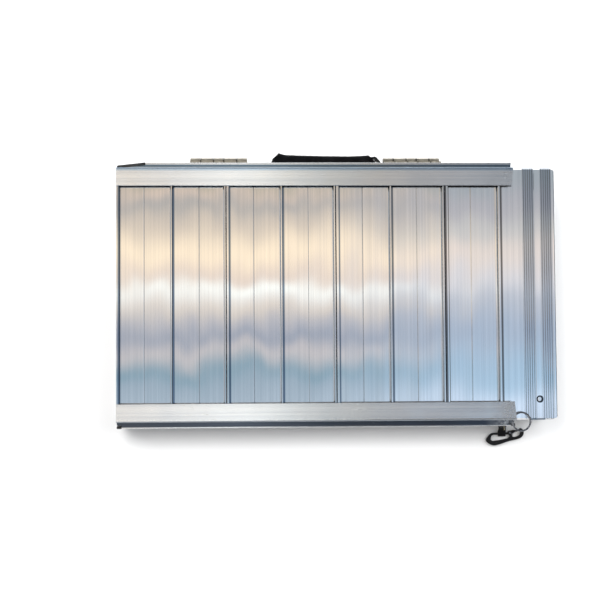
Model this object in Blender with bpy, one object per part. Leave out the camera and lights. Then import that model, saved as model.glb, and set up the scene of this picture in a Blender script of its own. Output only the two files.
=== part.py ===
"""Folding aluminium dog ramp, folded shut along its long hinge edge and lying flat.

Metres, +Z up. X runs along the ramp, with the grooved lip at +X. Y runs across it, with the fold hinges
at +Y. The lower half lies on the floor with its walking surface up; the upper half lies face down on it.
Both halves are described in one half frame: x along the ramp, v across it from its centre line
(+v towards the hinges) and w from its underside (0) up to the top of its curbs (HALF_DEPTH).
"""

import math

import bmesh
import bpy
from mathutils import Matrix, Vector

# Driving dimensions
LENGTH = 0.6096
PLANK_COUNT = 4
PLANK_PITCH = 0.1511
LIP_PLANK_WIDTH = LENGTH - (PLANK_COUNT - 1) * PLANK_PITCH
HALF_WIDTH = 0.367
HALF_DEPTH = 0.0442
HALF_GAP = 0.0006
CENTRE_Y = 0.0086          # the ramp's centre line: the handle and the snap hook reach out unequally
TOUCH = 0.0003             # gap between separate pieces that touch

LEFT_X = -LENGTH / 2
FOLDED_DEPTH = 2 * HALF_DEPTH + HALF_GAP

# Rails: a channel that holds the plank ends, with a curb wall outside it
CHANNEL_STEP = 0.009       # how far the curb wall stands out beyond the channel's web
WALL = 0.003
FLANGE_WIDTH = 0.0254
LEDGE_LOW = 0.0190
LEDGE_HIGH = 0.0215
LEDGE_REACH = 0.0140
WEB_V = HALF_WIDTH / 2 - CHANNEL_STEP
RAIL_RIGHT_X = 0.2440
RAIL_END_SKEW = 0.10       # the saw cut at the right end leans outwards by this slope
ROUND = 0.0012
WEB_ROUND = 0.0026         # the rolled corner between the web and the flange

# Curb end pieces
TAPER_LENGTH = 0.0390
TAPER_DROP = 0.0042
CAP_THICKNESS = 0.0036
CAP_LENGTH = 0.0065
RIGHT_CAP_LENGTH = 0.0040
CAP_SEAT = 0.0015          # a cap seat goes this far inside the curb wall
TOOL_REACH = 0.0100        # how far cutting tools stand clear of what they cut

# Planks
PLANK_GAP = 0.0012
PLANK_END_V = WEB_V - WALL - TOUCH
FOOT_W = WALL + TOUCH
SKIN_LOW = 0.0158
SKIN_HIGH = 0.0180
RIB_TOP = 0.0186
RIB_COUNT = 11
FOOT_WIDTH = 0.0041
FOOT_HEIGHT = 0.0030
LEG = 0.0020
V_LINE = 0.0006
FILLET = 0.0016            # the concave corner where a leg meets the skin

# Lip
LIP_LOW = 0.0140
LIP_GROOVE_PITCH = 0.00305
LIP_GROOVE_COUNT = 5
LIP_GROOVE_STARTS = (0.2608, 0.2860)
LIP_RECESS = 0.0005
LIP_GROOVE_DEPTH = 0.0007
LIP_CORNER = 0.0090
LIP_END_V = 0.1752         # beyond the rails the lip is cut wider, out to their webs
LIP_CHAMFER = 0.0026
LIP_HOLE_X = 0.2797
LIP_HOLE_V = -0.1466
LIP_HOLE_R = 0.0031
LIP_SINK_R = 0.0048

# Fold hinges
PIN_OFFSET = 0.0048        # the pin's axis stands this far outside the hinge-side curb walls
LEAF = 0.0020
LEAF_CLEAR = 0.0007
KNUCKLE_R = PIN_OFFSET - TOUCH
KNUCKLE_CLEAR = 0.00015
CURL = 285.0               # degrees that a knuckle wraps round the pin
CURL_STEPS = 10
PIN_R = 0.0021
HINGE_CENTRES = {"left": -0.1640, "right": 0.1077}
KNUCKLES = (0.0145, 0.0180, 0.0145, 0.0180, 0.0145)
RIVET_INSET = 0.0085       # the outer rivets sit this far in from a leaf's ends
LEAF_END_W = 0.0245
HINGE_V = HALF_WIDTH / 2 + PIN_OFFSET
HINGE_Z = FOLDED_DEPTH / 2

HINGE_RIVET_W = 0.0310
HINGE_SHANK_R = 0.0017

# Carry handle
HANDLE_LEFT_X = -0.0885
HANDLE_RIGHT_X = 0.0650
HANDLE_W = 0.0315
HANDLE_RIVET_XS = (-0.0730, 0.0600)
HANDLE_SHANK_R = 0.0015
WEBBING_WIDTH = 0.0190
WEBBING = 0.0016
SLEEVE_LEFT_X = -0.0790
SLEEVE_RIGHT_X = 0.0480
SLEEVE_LIFT = 0.0108       # the grip's middle, out from the curb's outer face
SLEEVE_SIZE = (0.0230, 0.0060)
ANCHOR_R = 0.0034
ANCHOR = 0.0008

# Closure tether
STRAP_X = 0.2345
STRAP_WIDTH = 0.0104
STRAP = 0.0012
STRAP_RIVET_W = 0.0310
STRAP_TOP = 0.0065         # the folded webbing ends this far above its rivet
EYE_BAR = (0.0151, 0.0043)  # where the webbing goes round the hook's eye: out from the curb, height
EYE_BAR_R = 0.00235

# Snap hook, in its own frame: s along it, e across it
HOOK_TIP = (0.2171, -0.2085)
HOOK_TURN = math.radians(11)
HOOK_THICKNESS = 0.0034
HOOK_Z = EYE_BAR[1]
HOOK_OUTLINE = (
    (0.0, 0.0003), (0.0035, -0.0052), (0.0090, -0.0084), (0.0150, -0.0090), (0.0240, -0.0080),
    (0.0330, -0.0069), (0.0420, -0.0068), (0.0490, -0.0060), (0.0540, -0.0030), (0.0560, 0.0015),
    (0.0552, 0.0056), (0.0526, 0.0078), (0.0507, 0.0066), (0.0512, 0.0036), (0.0502, 0.0),
    (0.0475, -0.0022), (0.0430, -0.0029), (0.0394, -0.0022), (0.0382, 0.0004), (0.0382, 0.0030),
    (0.0386, 0.0056), (0.0362, 0.0073), (0.0334, 0.0057), (0.0270, 0.0064), (0.0235, 0.0070),
    (0.0180, 0.0081), (0.0125, 0.0091), (0.0080, 0.0082), (0.0030, 0.0044),
)
EYE_SLOT = (
    (0.0070, 0.0005), (0.0090, -0.0020), (0.0200, -0.0030), (0.0320, -0.0026), (0.0345, -0.0010),
    (0.0345, 0.0014), (0.0325, 0.0026), (0.0235, 0.0041), (0.0120, 0.0063), (0.0088, 0.0052),
)
GATE_PIVOT = (0.0362, 0.0046)
GATE_PIN_R = 0.0008
GATE_BAR = (
    (0.0400, 0.0032), (0.0420, 0.0040), (0.0500, 0.0046), (0.0502, 0.0064), (0.0420, 0.0071),
    (0.0400, 0.0073),
)
GATE_SPRING = (
    (0.03875, -0.0006), (0.03915, -0.0006), (0.0393, 0.0009), (0.0404, 0.0022), (0.0440, 0.0034),
    (0.0440, 0.0038), (0.0401, 0.0026), (0.0389, 0.0011),
)
CHEEK_R = 0.0028
CHEEK = 0.0008

# Split ring through the upper outer rail's web
RING_HOLE_X = 0.2405
RING_HOLE_R = 0.0023
RING_W = 0.0095
RING_R = 0.0130
RING_WIRE = 0.0011
RING_TILT = math.radians(6)
RING_YAW = math.radians(-20)
RING_SEGMENTS = 24

FINISHES = {
    "mill_aluminium": ((0.72, 0.74, 0.77), 0.32, 1.0),
    "plated_steel": ((0.46, 0.43, 0.36), 0.42, 1.0),
    "black_webbing": ((0.012, 0.012, 0.013), 0.85, 0.0),
    "black_rubber": ((0.03, 0.03, 0.032), 0.7, 0.0),
    "black_steel": ((0.02, 0.02, 0.022), 0.4, 0.8),
    "dark_steel": ((0.2, 0.21, 0.23), 0.3, 1.0),
    "spring_steel": ((0.5, 0.5, 0.52), 0.3, 1.0),
}


def finish(name):
    """The named finish as a Principled material, made once."""
    found = bpy.data.materials.get(name)
    if found:
        return found
    colour, roughness, metallic = FINISHES[name]
    material = bpy.data.materials.new(name)
    material.use_nodes = True
    shader = material.node_tree.nodes["Principled BSDF"]
    shader.inputs["Base Color"].default_value = (*colour, 1.0)
    shader.inputs["Roughness"].default_value = roughness
    shader.inputs["Metallic"].default_value = metallic
    return material


def arc(centre, radius, start, end, steps):
    """Points of an arc in degrees, both ends included."""
    angles = [math.radians(start + (end - start) * i / steps) for i in range(steps + 1)]
    return [(centre[0] + radius * math.cos(a), centre[1] + radius * math.sin(a)) for a in angles]


def smooth_loop(points, steps):
    """A closed Catmull-Rom curve through the points."""
    count = len(points)
    curve = []
    for i in range(count):
        p0, p1, p2, p3 = (Vector(points[(i + k) % count]) for k in (-1, 0, 1, 2))
        for step in range(steps):
            t = step / steps
            bend = (2 * p0 - 5 * p1 + 4 * p2 - p3) * t * t + (3 * p1 - p0 - 3 * p2 + p3) * t ** 3
            curve.append(tuple(0.5 * (2 * p1 + (p2 - p0) * t + bend)))
    return curve


def prism(bm, outline, low, high, place):
    """Adds the outline extruded from low to high; place(a, b, t) gives each point's position."""
    ends = []
    for t in (low, high):
        ends.append([bm.verts.new(place(a, b, t)) for a, b in outline])
    count = len(outline)
    bm.faces.new(ends[0])
    bm.faces.new(list(reversed(ends[1])))
    for i in range(count):
        j = (i + 1) % count
        bm.faces.new((ends[0][j], ends[0][i], ends[1][i], ends[1][j]))
    return ends


def turned(bm, profile, segments, matrix):
    """Adds a closed turned body; the profile runs from the axis round to the axis as (radius, height)."""
    rings = []
    for radius, height in profile:
        if radius < 1e-7:
            rings.append([bm.verts.new(matrix @ Vector((0, 0, height)))])
            continue
        ring = []
        for i in range(segments):
            a = 2 * math.pi * i / segments
            ring.append(bm.verts.new(matrix @ Vector((radius * math.cos(a), radius * math.sin(a), height))))
        rings.append(ring)
    for lower, upper in zip(rings, rings[1:]):
        for i in range(segments):
            j = (i + 1) % segments
            corners = [lower[i % len(lower)], lower[j % len(lower)], upper[j % len(upper)], upper[i % len(upper)]]
            unique = list(dict.fromkeys(corners))
            bm.faces.new(unique)


def tube(bm, path, radius, sides, closed=False):
    """Adds a round bar along the path, a closed loop or with flat ends."""
    count = len(path)
    rings = []
    normal = None
    for i, point in enumerate(path):
        before = path[i - 1] if closed or i else point
        after = path[(i + 1) % count] if closed or i < count - 1 else point
        along = (Vector(after) - Vector(before)).normalized()
        if normal is None:
            normal = along.orthogonal().normalized()
        normal = (normal - along * normal.dot(along)).normalized()
        side = along.cross(normal)
        ring = []
        for k in range(sides):
            a = 2 * math.pi * k / sides
            ring.append(bm.verts.new(Vector(point) + radius * (math.cos(a) * normal + math.sin(a) * side)))
        rings.append(ring)
    pairs = list(zip(rings, rings[1:]))
    if closed:
        pairs.append((rings[-1], rings[0]))
    else:
        bm.faces.new(list(reversed(rings[0])))
        bm.faces.new(rings[-1])
    for ring, following in pairs:
        for k in range(sides):
            m = (k + 1) % sides
            bm.faces.new((ring[k], ring[m], following[m], following[k]))


def ribbon(bm, centre_line, thickness, across, place):
    """Adds a flat band that follows centre_line; across gives its two edges, place(a, b, t) its points."""
    left, right = [], []
    for i, (x, y) in enumerate(centre_line):
        x0, y0 = centre_line[max(i - 1, 0)]
        x1, y1 = centre_line[min(i + 1, len(centre_line) - 1)]
        length = math.hypot(x1 - x0, y1 - y0)
        nx, ny = -(y1 - y0) / length, (x1 - x0) / length
        left.append((x + nx * thickness / 2, y + ny * thickness / 2))
        right.append((x - nx * thickness / 2, y - ny * thickness / 2))
    prism(bm, left + right[::-1], across[0], across[1], place)


def node(name, bm, material, parent=None, location=(0, 0, 0), smooth=False):
    """Turns a bmesh into a named object, its normals outwards, under its parent."""
    bmesh.ops.recalc_face_normals(bm, faces=bm.faces)
    mesh = bpy.data.meshes.new(name)
    bm.to_mesh(mesh)
    bm.free()
    mesh.materials.append(finish(material))
    if smooth:
        mesh.shade_smooth()
        mesh.set_sharp_from_angle(angle=math.radians(35))
    made = bpy.data.objects.new(name, mesh)
    bpy.context.scene.collection.objects.link(made)
    made.location = location
    if parent:
        made.parent = parent
        made.location = Vector(location) - parent.location
    return made


def joint_empty(name, location):
    """An empty on a joint's axis, which the moving pieces hang on."""
    made = bpy.data.objects.new(name, None)
    bpy.context.scene.collection.objects.link(made)
    made.location = location
    made.empty_display_size = 0.02
    return made


def cut(target, bm, name):
    """Cuts a hidden tool out of the target."""
    tool = node(name, bm, "dark_steel")
    tool.parent = target.parent
    tool.location = target.location
    tool.hide_render = True
    tool.display_type = "WIRE"
    modifier = target.modifiers.new(name, "BOOLEAN")
    modifier.operation = "DIFFERENCE"
    modifier.solver = "EXACT"
    modifier.object = tool


class Half:
    """One half of the ramp: its placing, its name and the empty that it hangs on."""

    def __init__(self, name, parent):
        self.name = name
        self.parent = parent
        self.flip = -1 if name == "upper" else 1
        self.origin = (0, CENTRE_Y, FOLDED_DEPTH if name == "upper" else 0)

    def at(self, x, v, w):
        """A half-frame point in the half's object frame."""
        return Vector((x, v, self.flip * w))

    def make(self, piece, bm, material, smooth=False):
        return node(f"{self.name}_{piece}", bm, material, self.parent, self.origin, smooth)


def rail_outline():
    """The rail's section as (u, w): u outwards from the web's outer face, w up from the underside."""
    wall_in = CHANNEL_STEP - WALL
    points = arc((-WEB_ROUND, WEB_ROUND), WEB_ROUND, -90, 0, 6)
    points += [(0, LEDGE_LOW), (CHANNEL_STEP - ROUND, LEDGE_LOW)]
    points += arc((CHANNEL_STEP - ROUND, LEDGE_LOW + ROUND), ROUND, -60, 0, 2)
    points += arc((CHANNEL_STEP - WALL / 2, HALF_DEPTH - WALL / 2), WALL / 2, 0, 180, 6)
    points += [(wall_in, LEDGE_HIGH), (-LEDGE_REACH, LEDGE_HIGH), (-LEDGE_REACH, LEDGE_LOW)]
    points += [(-WALL, LEDGE_LOW), (-WALL, WALL), (-FLANGE_WIDTH + ROUND / 2, WALL)]
    points += [(-FLANGE_WIDTH, WALL - ROUND / 2), (-FLANGE_WIDTH, ROUND / 2), (-FLANGE_WIDTH + ROUND / 2, 0)]
    return points


def rail(half, side, sign):
    """A rail; sign is +1 on the hinge side and -1 on the outer side."""
    bm = bmesh.new()

    def place(u, w, x):
        lean = RAIL_END_SKEW * u if x > 0 else 0
        return half.at(x + lean, sign * (WEB_V + u), w)

    prism(bm, rail_outline(), LEFT_X, RAIL_RIGHT_X, place)
    made = half.make(f"{side}_rail", bm, "mill_aluminium")
    if sign > 0:
        cut_taper(half, made)
        places = [(x, WEB_V + CHANNEL_STEP - WALL / 2, HINGE_RIVET_W) for x in hinge_rivet_xs()]
        drill(half, made, places, HINGE_SHANK_R + TOUCH, 0.0045, "hinge_holes")
        if half.name == "lower":
            places = [(x, WEB_V + CHANNEL_STEP - WALL / 2, HANDLE_W) for x in HANDLE_RIVET_XS]
            drill(half, made, places, HANDLE_SHANK_R + TOUCH, 0.0045, "handle_holes")
    else:
        cut_cap_seats(half, made)
        if half.name == "lower":
            places = [(STRAP_X, -WEB_V - CHANNEL_STEP + WALL / 2, STRAP_RIVET_W)]
            drill(half, made, places, HANDLE_SHANK_R + TOUCH, 0.0045, "strap_hole")
        else:
            places = [(RING_HOLE_X, -WEB_V + WALL / 2, RING_W)]
            drill(half, made, places, RING_HOLE_R, 0.0045, "ring_hole")


def taper_line(x):
    """How far the tapered curb end stands back from the straight curb at x."""
    return TAPER_DROP * max(0.0, (LEFT_X + TAPER_LENGTH - x) / TAPER_LENGTH)


def cut_taper(half, made):
    """Removes the straight curb and the ledge's edge where the tapered rubber end goes."""
    bm = bmesh.new()
    start = LEFT_X + TAPER_LENGTH + TOUCH
    end = LEFT_X - TOOL_REACH
    clear = CHANNEL_STEP - CAP_THICKNESS - TOUCH
    beyond = CHANNEL_STEP + TOOL_REACH
    outline = [(start, clear), (start, beyond), (end, beyond), (end, clear - taper_line(end))]
    prism(bm, outline, WALL * 2, HALF_DEPTH + TOOL_REACH, lambda x, u, w: half.at(x, WEB_V + u, w))
    cut(made, bm, f"{half.name}_taper_tool")


def cut_cap_seats(half, made):
    """Takes the curb wall off at both ends of the outer rail, where the end caps sit."""
    bm = bmesh.new()
    inside = CHANNEL_STEP - WALL - CAP_SEAT
    beyond = CHANNEL_STEP + TOOL_REACH
    left = (LEFT_X - TOOL_REACH, LEFT_X + CAP_LENGTH)
    right = (RAIL_RIGHT_X - RIGHT_CAP_LENGTH, RAIL_RIGHT_X + TOOL_REACH)
    for low, high in (left, right):
        outline = [(low, inside), (high, inside), (high, beyond), (low, beyond)]
        prism(bm, outline, WALL * 2, HALF_DEPTH + TOOL_REACH, lambda x, u, w: half.at(x, -WEB_V - u, w))
    cut(made, bm, f"{half.name}_cap_seat_tool")


def hinge_rivet_xs():
    """Where the rivets of both hinges sit along the ramp: three through each leaf."""
    spread = sum(KNUCKLES) / 2 - RIVET_INSET
    return [centre + k * spread for centre in HINGE_CENTRES.values() for k in (-1, 0, 1)]


def drill(half, made, places, radius, reach, name):
    """Round holes straight across the ramp (along v), cut with one joined tool."""
    bm = bmesh.new()
    turn = Matrix.Rotation(math.radians(90), 4, "X")
    for place in places:
        matrix = Matrix.Translation(half.at(*place)) @ turn
        turned(bm, [(0, -reach), (radius, -reach), (radius, reach), (0, reach)], 8, matrix)
    cut(made, bm, f"{made.name}_{name}")


def fillet(wall, side, level):
    """The concave corner between a leg's wall and the skin at the given level; side +1 has its skin to the right."""
    start, end = (180, 90) if side > 0 else (90, 0)
    return arc((wall + side * FILLET, level - FILLET), FILLET, start, end, 4)


def deck_outline(width, lip):
    """A plank's section as (x, w), from its left edge: feet below, anti-slip ribs above."""
    middle = PLANK_PITCH / 2
    points = [(0, FOOT_W), (FOOT_WIDTH, FOOT_W), (FOOT_WIDTH, FOOT_W + FOOT_HEIGHT)]
    points += [(LEG, FOOT_W + FOOT_HEIGHT + ROUND)] + fillet(LEG, +1, SKIN_LOW)
    quarter = PLANK_PITCH / 4
    points += [(quarter - V_LINE, SKIN_LOW), (quarter, SKIN_LOW + V_LINE), (quarter + V_LINE, SKIN_LOW)]
    points += fillet(middle - LEG / 2, -1, SKIN_LOW)
    points += [(middle - LEG / 2, FOOT_W), (middle + LEG / 2, FOOT_W)]
    if lip:
        points += lip_underside(middle + LEG / 2, width)
    else:
        quarter *= 3
        points += fillet(middle + LEG / 2, +1, SKIN_LOW)
        points += [(quarter - V_LINE, SKIN_LOW), (quarter, SKIN_LOW + V_LINE), (quarter + V_LINE, SKIN_LOW)]
        points += fillet(width - LEG, -1, SKIN_LOW)
        points += [(width - LEG, FOOT_W), (width, FOOT_W), (width, SKIN_HIGH)]
    pitch = width / RIB_COUNT
    for i in reversed(range(RIB_COUNT)):
        centre = pitch * (i + 0.5)
        points += [(centre + 0.0018, SKIN_HIGH), (centre + 0.0010, RIB_TOP)]
        points += [(centre - 0.0010, RIB_TOP), (centre - 0.0018, SKIN_HIGH)]
    return points + [(0, SKIN_HIGH)]


def lip_underside(start, width):
    """The thick lip's underside with its two recessed groups of fine grooves, and its rounded nose."""
    left = LEFT_X + PLANK_PITCH * (PLANK_COUNT - 1)
    points = fillet(start, +1, LIP_LOW)
    floor = LIP_LOW + LIP_RECESS
    for first in LIP_GROOVE_STARTS:
        begin = first - left - LIP_GROOVE_PITCH * 0.6
        points += [(begin - LIP_RECESS, LIP_LOW), (begin, floor)]
        for k in range(LIP_GROOVE_COUNT):
            centre = first - left + LIP_GROOVE_PITCH * k
            points += [(centre - 0.0006, floor), (centre, floor + LIP_GROOVE_DEPTH), (centre + 0.0006, floor)]
        end = first - left + LIP_GROOVE_PITCH * (LIP_GROOVE_COUNT - 0.4)
        points += [(end, floor), (end + LIP_RECESS, LIP_LOW)]
    nose = (SKIN_HIGH - LIP_LOW) / 2
    points += arc((width - nose, LIP_LOW + nose), nose, -90, 90, 6)
    return points


def plank(half, index):
    """One deck extrusion across the half; the last one ends in the lip."""
    is_lip = index == PLANK_COUNT - 1
    width = LIP_PLANK_WIDTH if is_lip else PLANK_PITCH - PLANK_GAP
    reach = LIP_END_V if is_lip else PLANK_END_V
    left = LEFT_X + PLANK_PITCH * index
    bm = bmesh.new()
    place = lambda x, w, v: half.at(left + x, v, w)
    prism(bm, deck_outline(width, is_lip), -reach, reach, place)
    made = half.make("lip_plank" if is_lip else f"plank_{index + 1}", bm, "mill_aluminium")
    if is_lip:
        trim_lip(half, made)


def trim_lip(half, made):
    """Narrows the plank inside the rails, rounds and bevels the lip's ends and sinks a hole for a tether pin."""
    right = -LEFT_X
    beyond = LIP_END_V + TOOL_REACH / 2
    notch = bmesh.new()
    for s in (-1, 1):
        outline = [(LEFT_X, s * PLANK_END_V), (RAIL_RIGHT_X + 2 * TOUCH, s * PLANK_END_V)]
        outline += [(RAIL_RIGHT_X + 2 * TOUCH, s * beyond), (LEFT_X, s * beyond)]
        prism(notch, outline, 0, HALF_DEPTH, lambda x, v, w: half.at(x, v, w))
    cut(made, notch, f"{half.name}_lip_notch_tool")
    corners = bmesh.new()
    for s in (-1, 1):
        centre = (right - LIP_CORNER, s * (LIP_END_V - LIP_CORNER))
        outline = arc(centre, LIP_CORNER, 0, 90 * s, 6)
        outline += [(right - LIP_CORNER, s * beyond), (right + TOOL_REACH, s * beyond)]
        outline += [(right + TOOL_REACH, s * (LIP_END_V - LIP_CORNER))]
        prism(corners, outline, LIP_LOW - TOOL_REACH, RIB_TOP + TOOL_REACH, lambda x, v, w: half.at(x, v, w))
    cut(made, corners, f"{half.name}_lip_corner_tool")
    bevels = bmesh.new()
    below = LIP_LOW - LIP_CHAMFER / 2
    for s in (-1, 1):
        outline = [(s * (LIP_END_V - LIP_CHAMFER * 1.5), below), (s * (LIP_END_V + LIP_CHAMFER), below)]
        outline += [(s * (LIP_END_V + LIP_CHAMFER), LIP_LOW + 2 * LIP_CHAMFER)]
        prism(bevels, outline, RAIL_RIGHT_X + TOUCH, right + TOOL_REACH, lambda v, w, x: half.at(x, v, w))
    cut(made, bevels, f"{half.name}_lip_bevel_tool")
    hole = bmesh.new()
    sink = LIP_SINK_R - LIP_HOLE_R
    over = ROUND
    profile = [(0, LIP_LOW - over), (LIP_SINK_R + over, LIP_LOW - over), (LIP_HOLE_R, LIP_LOW + sink)]
    profile += [(LIP_HOLE_R, RIB_TOP + over), (0, RIB_TOP + over)]
    matrix = Matrix.Translation(half.at(LIP_HOLE_X, LIP_HOLE_V, 0)) @ Matrix.Scale(half.flip, 4, (0, 0, 1))
    turned(hole, profile, 12, matrix)
    cut(made, hole, f"{half.name}_lip_hole_tool")


def rivet_profile(shank, grip):
    """A blind rivet along its axis: a low dome above 0 and a set bulb below the grip."""
    head = shank * 2.0
    bulb = shank * 1.45
    return [(0, -grip - 0.0022), (bulb * 0.7, -grip - 0.0020), (bulb, -grip - 0.0010), (shank, -grip - TOUCH),
            (shank, TOUCH), (head, TOUCH), (head * 0.72, 0.0009), (0, 0.0012)]


def rivet_across(name, half, spot, sign, shank, grip, material):
    """A blind rivet set straight across the ramp; its head faces sign * v."""
    bm = bmesh.new()
    out = Matrix.Rotation(math.radians(-90 * sign), 4, "X")
    turned(bm, rivet_profile(shank, grip), 8, Matrix.Translation(half.at(*spot)) @ out)
    node(name, bm, material, half.parent, half.origin, smooth=True)


def hinge_rivets(half):
    """Rivets through the hinge leaves and the curb wall, three to a leaf."""
    for i, x in enumerate(hinge_rivet_xs()):
        side = "left" if i < 3 else "right"
        spot = (x, HALF_WIDTH / 2 + TOUCH + LEAF, HINGE_RIVET_W)
        name = f"hinge_{side}_{half.name}_rivet_{i % 3 + 1}"
        rivet_across(name, half, spot, +1, HINGE_SHANK_R, WALL + TOUCH + LEAF, "plated_steel")


def hinge_end_cap(half):
    """The tapered black rubber end of the hinge-side curb."""
    bm = bmesh.new()
    start = LEFT_X + TAPER_LENGTH
    outline = [(start, CHANNEL_STEP), (LEFT_X + 0.0010, CHANNEL_STEP - TAPER_DROP)]
    outline += [(LEFT_X, CHANNEL_STEP - TAPER_DROP - 0.0010)]
    outline += [(LEFT_X, CHANNEL_STEP - TAPER_DROP - CAP_THICKNESS), (start, CHANNEL_STEP - CAP_THICKNESS)]
    prism(bm, outline, LEDGE_LOW - 0.0012, HALF_DEPTH - 0.0004, lambda x, u, w: half.at(x, WEB_V + u, w))
    half.make("hinge_end_cap", bm, "black_rubber")


def outer_cap(half, side, low, high):
    """A small black moulded cap on one end of the outer curb."""
    bm = bmesh.new()
    wall = CHANNEL_STEP - WALL / 2
    outline = arc((wall, HALF_DEPTH - 0.0022), 0.0018, 0, 180, 6) + arc((wall, LEDGE_LOW + 0.0008), 0.0018, 180, 360, 6)
    prism(bm, outline, low, high, lambda u, w, x: half.at(x, -WEB_V - u, w))
    half.make(f"outer_{side}_cap", bm, "black_rubber", smooth=True)


def hinge_leaf(half, side, owned):
    """A leaf: a plate on the curb wall whose owned knuckles curl round the pin."""
    centre = HINGE_CENTRES[side]
    inner = HALF_WIDTH / 2 + TOUCH
    outer = inner + LEAF
    axis_w = HALF_DEPTH + HALF_GAP / 2
    plate_top = axis_w - KNUCKLE_R - LEAF_CLEAR
    count = len(KNUCKLES)
    stations = [centre - sum(KNUCKLES) / 2 + sum(KNUCKLES[:i]) for i in range(count + 1)]
    for i in range(1, count):
        stations[i] += -KNUCKLE_CLEAR if i - 1 in owned else KNUCKLE_CLEAR
    section = ((inner, LEAF_END_W), (outer, LEAF_END_W), (outer, plate_top), (inner, plate_top))
    bm = bmesh.new()
    columns = [[bm.verts.new(half.at(x, v, w)) for v, w in section] for x in stations]
    bm.faces.new(columns[0])
    bm.faces.new(list(reversed(columns[-1])))
    tops = []
    for a, b in zip(columns, columns[1:]):
        for k in (3, 0, 1):
            m = (k + 1) % 4
            bm.faces.new((a[k], a[m], b[m], b[k]))
        tops.append(bm.faces.new((a[2], a[3], b[3], b[2])))
    pivot = half.at(centre, HINGE_V, axis_w)
    for k in owned:
        curl_knuckle(bm, tops[k], pivot, half.flip)
    made = half_piece(f"hinge_{side}_{half.name}_leaf", half, bm, "plated_steel", smooth=True)
    reach = sum(KNUCKLES) / 2
    places = [(x, inner + LEAF / 2, HINGE_RIVET_W) for x in hinge_rivet_xs() if abs(x - centre) < reach]
    drill(half, made, places, HINGE_SHANK_R + TOUCH, 2 * LEAF, "holes")


def curl_knuckle(bm, face, pivot, flip):
    """Carries a plate's top edge up to the pin's height and curls it round the pin."""
    previous = list(face.verts)
    bm.faces.remove(face)
    start = [(vert.co.x, abs(vert.co.y - pivot.y)) for vert in previous]
    for step in range(CURL_STEPS + 1):
        angle = math.radians(180 - CURL * step / CURL_STEPS)
        across, along = math.cos(angle), flip * math.sin(angle)
        following = [bm.verts.new((x, pivot.y + r * across, pivot.z + r * along)) for x, r in start]
        for m in range(4):
            n = (m + 1) % 4
            bm.faces.new((previous[m], previous[n], following[n], following[m]))
        previous = following
    bm.faces.new(previous)


def hinge_pin(side):
    """A hinge's pin, its ends level with the outer knuckles."""
    bm = bmesh.new()
    reach = sum(KNUCKLES) / 2 + 0.0003
    profile = [(0, -reach), (PIN_R * 0.7, -reach), (PIN_R, -reach + 0.0005)]
    profile += [(PIN_R, reach - 0.0005), (PIN_R * 0.7, reach), (0, reach)]
    turned(bm, profile, 12, Matrix.Rotation(math.radians(90), 4, "Y"))
    node(f"hinge_{side}_pin", bm, "plated_steel", None, (HINGE_CENTRES[side], CENTRE_Y + HINGE_V, HINGE_Z), True)


def webbing_path():
    """The handle webbing's centre line as (x, distance from the curb's outer face)."""
    flat = TOUCH + WEBBING / 2
    loop = (SLEEVE_LIFT - flat) / 2
    path = [(HANDLE_RIVET_XS[0] + 0.0080, flat)]
    path += arc((HANDLE_LEFT_X + loop + WEBBING / 2, flat + loop), loop, 270, 90, 8)
    path += [(SLEEVE_LEFT_X, SLEEVE_LIFT), (SLEEVE_RIGHT_X, SLEEVE_LIFT)]
    path += [(SLEEVE_RIGHT_X + 0.0030, SLEEVE_LIFT - 0.0020), (HANDLE_RIVET_XS[1] - 0.0052, flat + 0.0004)]
    return path + [(HANDLE_RIVET_XS[1] - 0.0040, flat), (HANDLE_RIGHT_X, flat)]


def handle(half):
    """Webbing riveted at both ends to the lower hinge-side curb, with a wrapped grip sleeve between."""
    wall = HALF_WIDTH / 2
    low, high = HANDLE_W - WEBBING_WIDTH / 2, HANDLE_W + WEBBING_WIDTH / 2
    bm = bmesh.new()
    ribbon(bm, webbing_path(), WEBBING, (low, high), lambda x, d, w: half.at(x, wall + d, w))
    webbing = half_piece("handle_webbing", half, bm, "black_webbing", smooth=True)
    places = [(x, wall + TOUCH + WEBBING / 2, HANDLE_W) for x in HANDLE_RIVET_XS]
    drill(half, webbing, places, HANDLE_SHANK_R + TOUCH, 0.0011, "holes")
    sleeve(half, wall)
    for side, x in zip(("left", "right"), HANDLE_RIVET_XS):
        base = wall + 2 * TOUCH + WEBBING
        bm = bmesh.new()
        outline = arc((x, HANDLE_W), ANCHOR_R, 0, 337.5, 15)
        prism(bm, outline, base, base + ANCHOR, lambda x, w, v: half.at(x, v, w))
        plate = half_piece(f"handle_{side}_washer", half, bm, "black_steel")
        drill(half, plate, [(x, base, HANDLE_W)], HANDLE_SHANK_R + TOUCH, 0.0020, "hole")
        grip = 2 * TOUCH + WEBBING + ANCHOR + WALL
        spot = (x, base + ANCHOR, HANDLE_W)
        rivet_across(f"handle_{side}_rivet", half, spot, +1, HANDLE_SHANK_R, grip, "black_steel")


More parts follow.
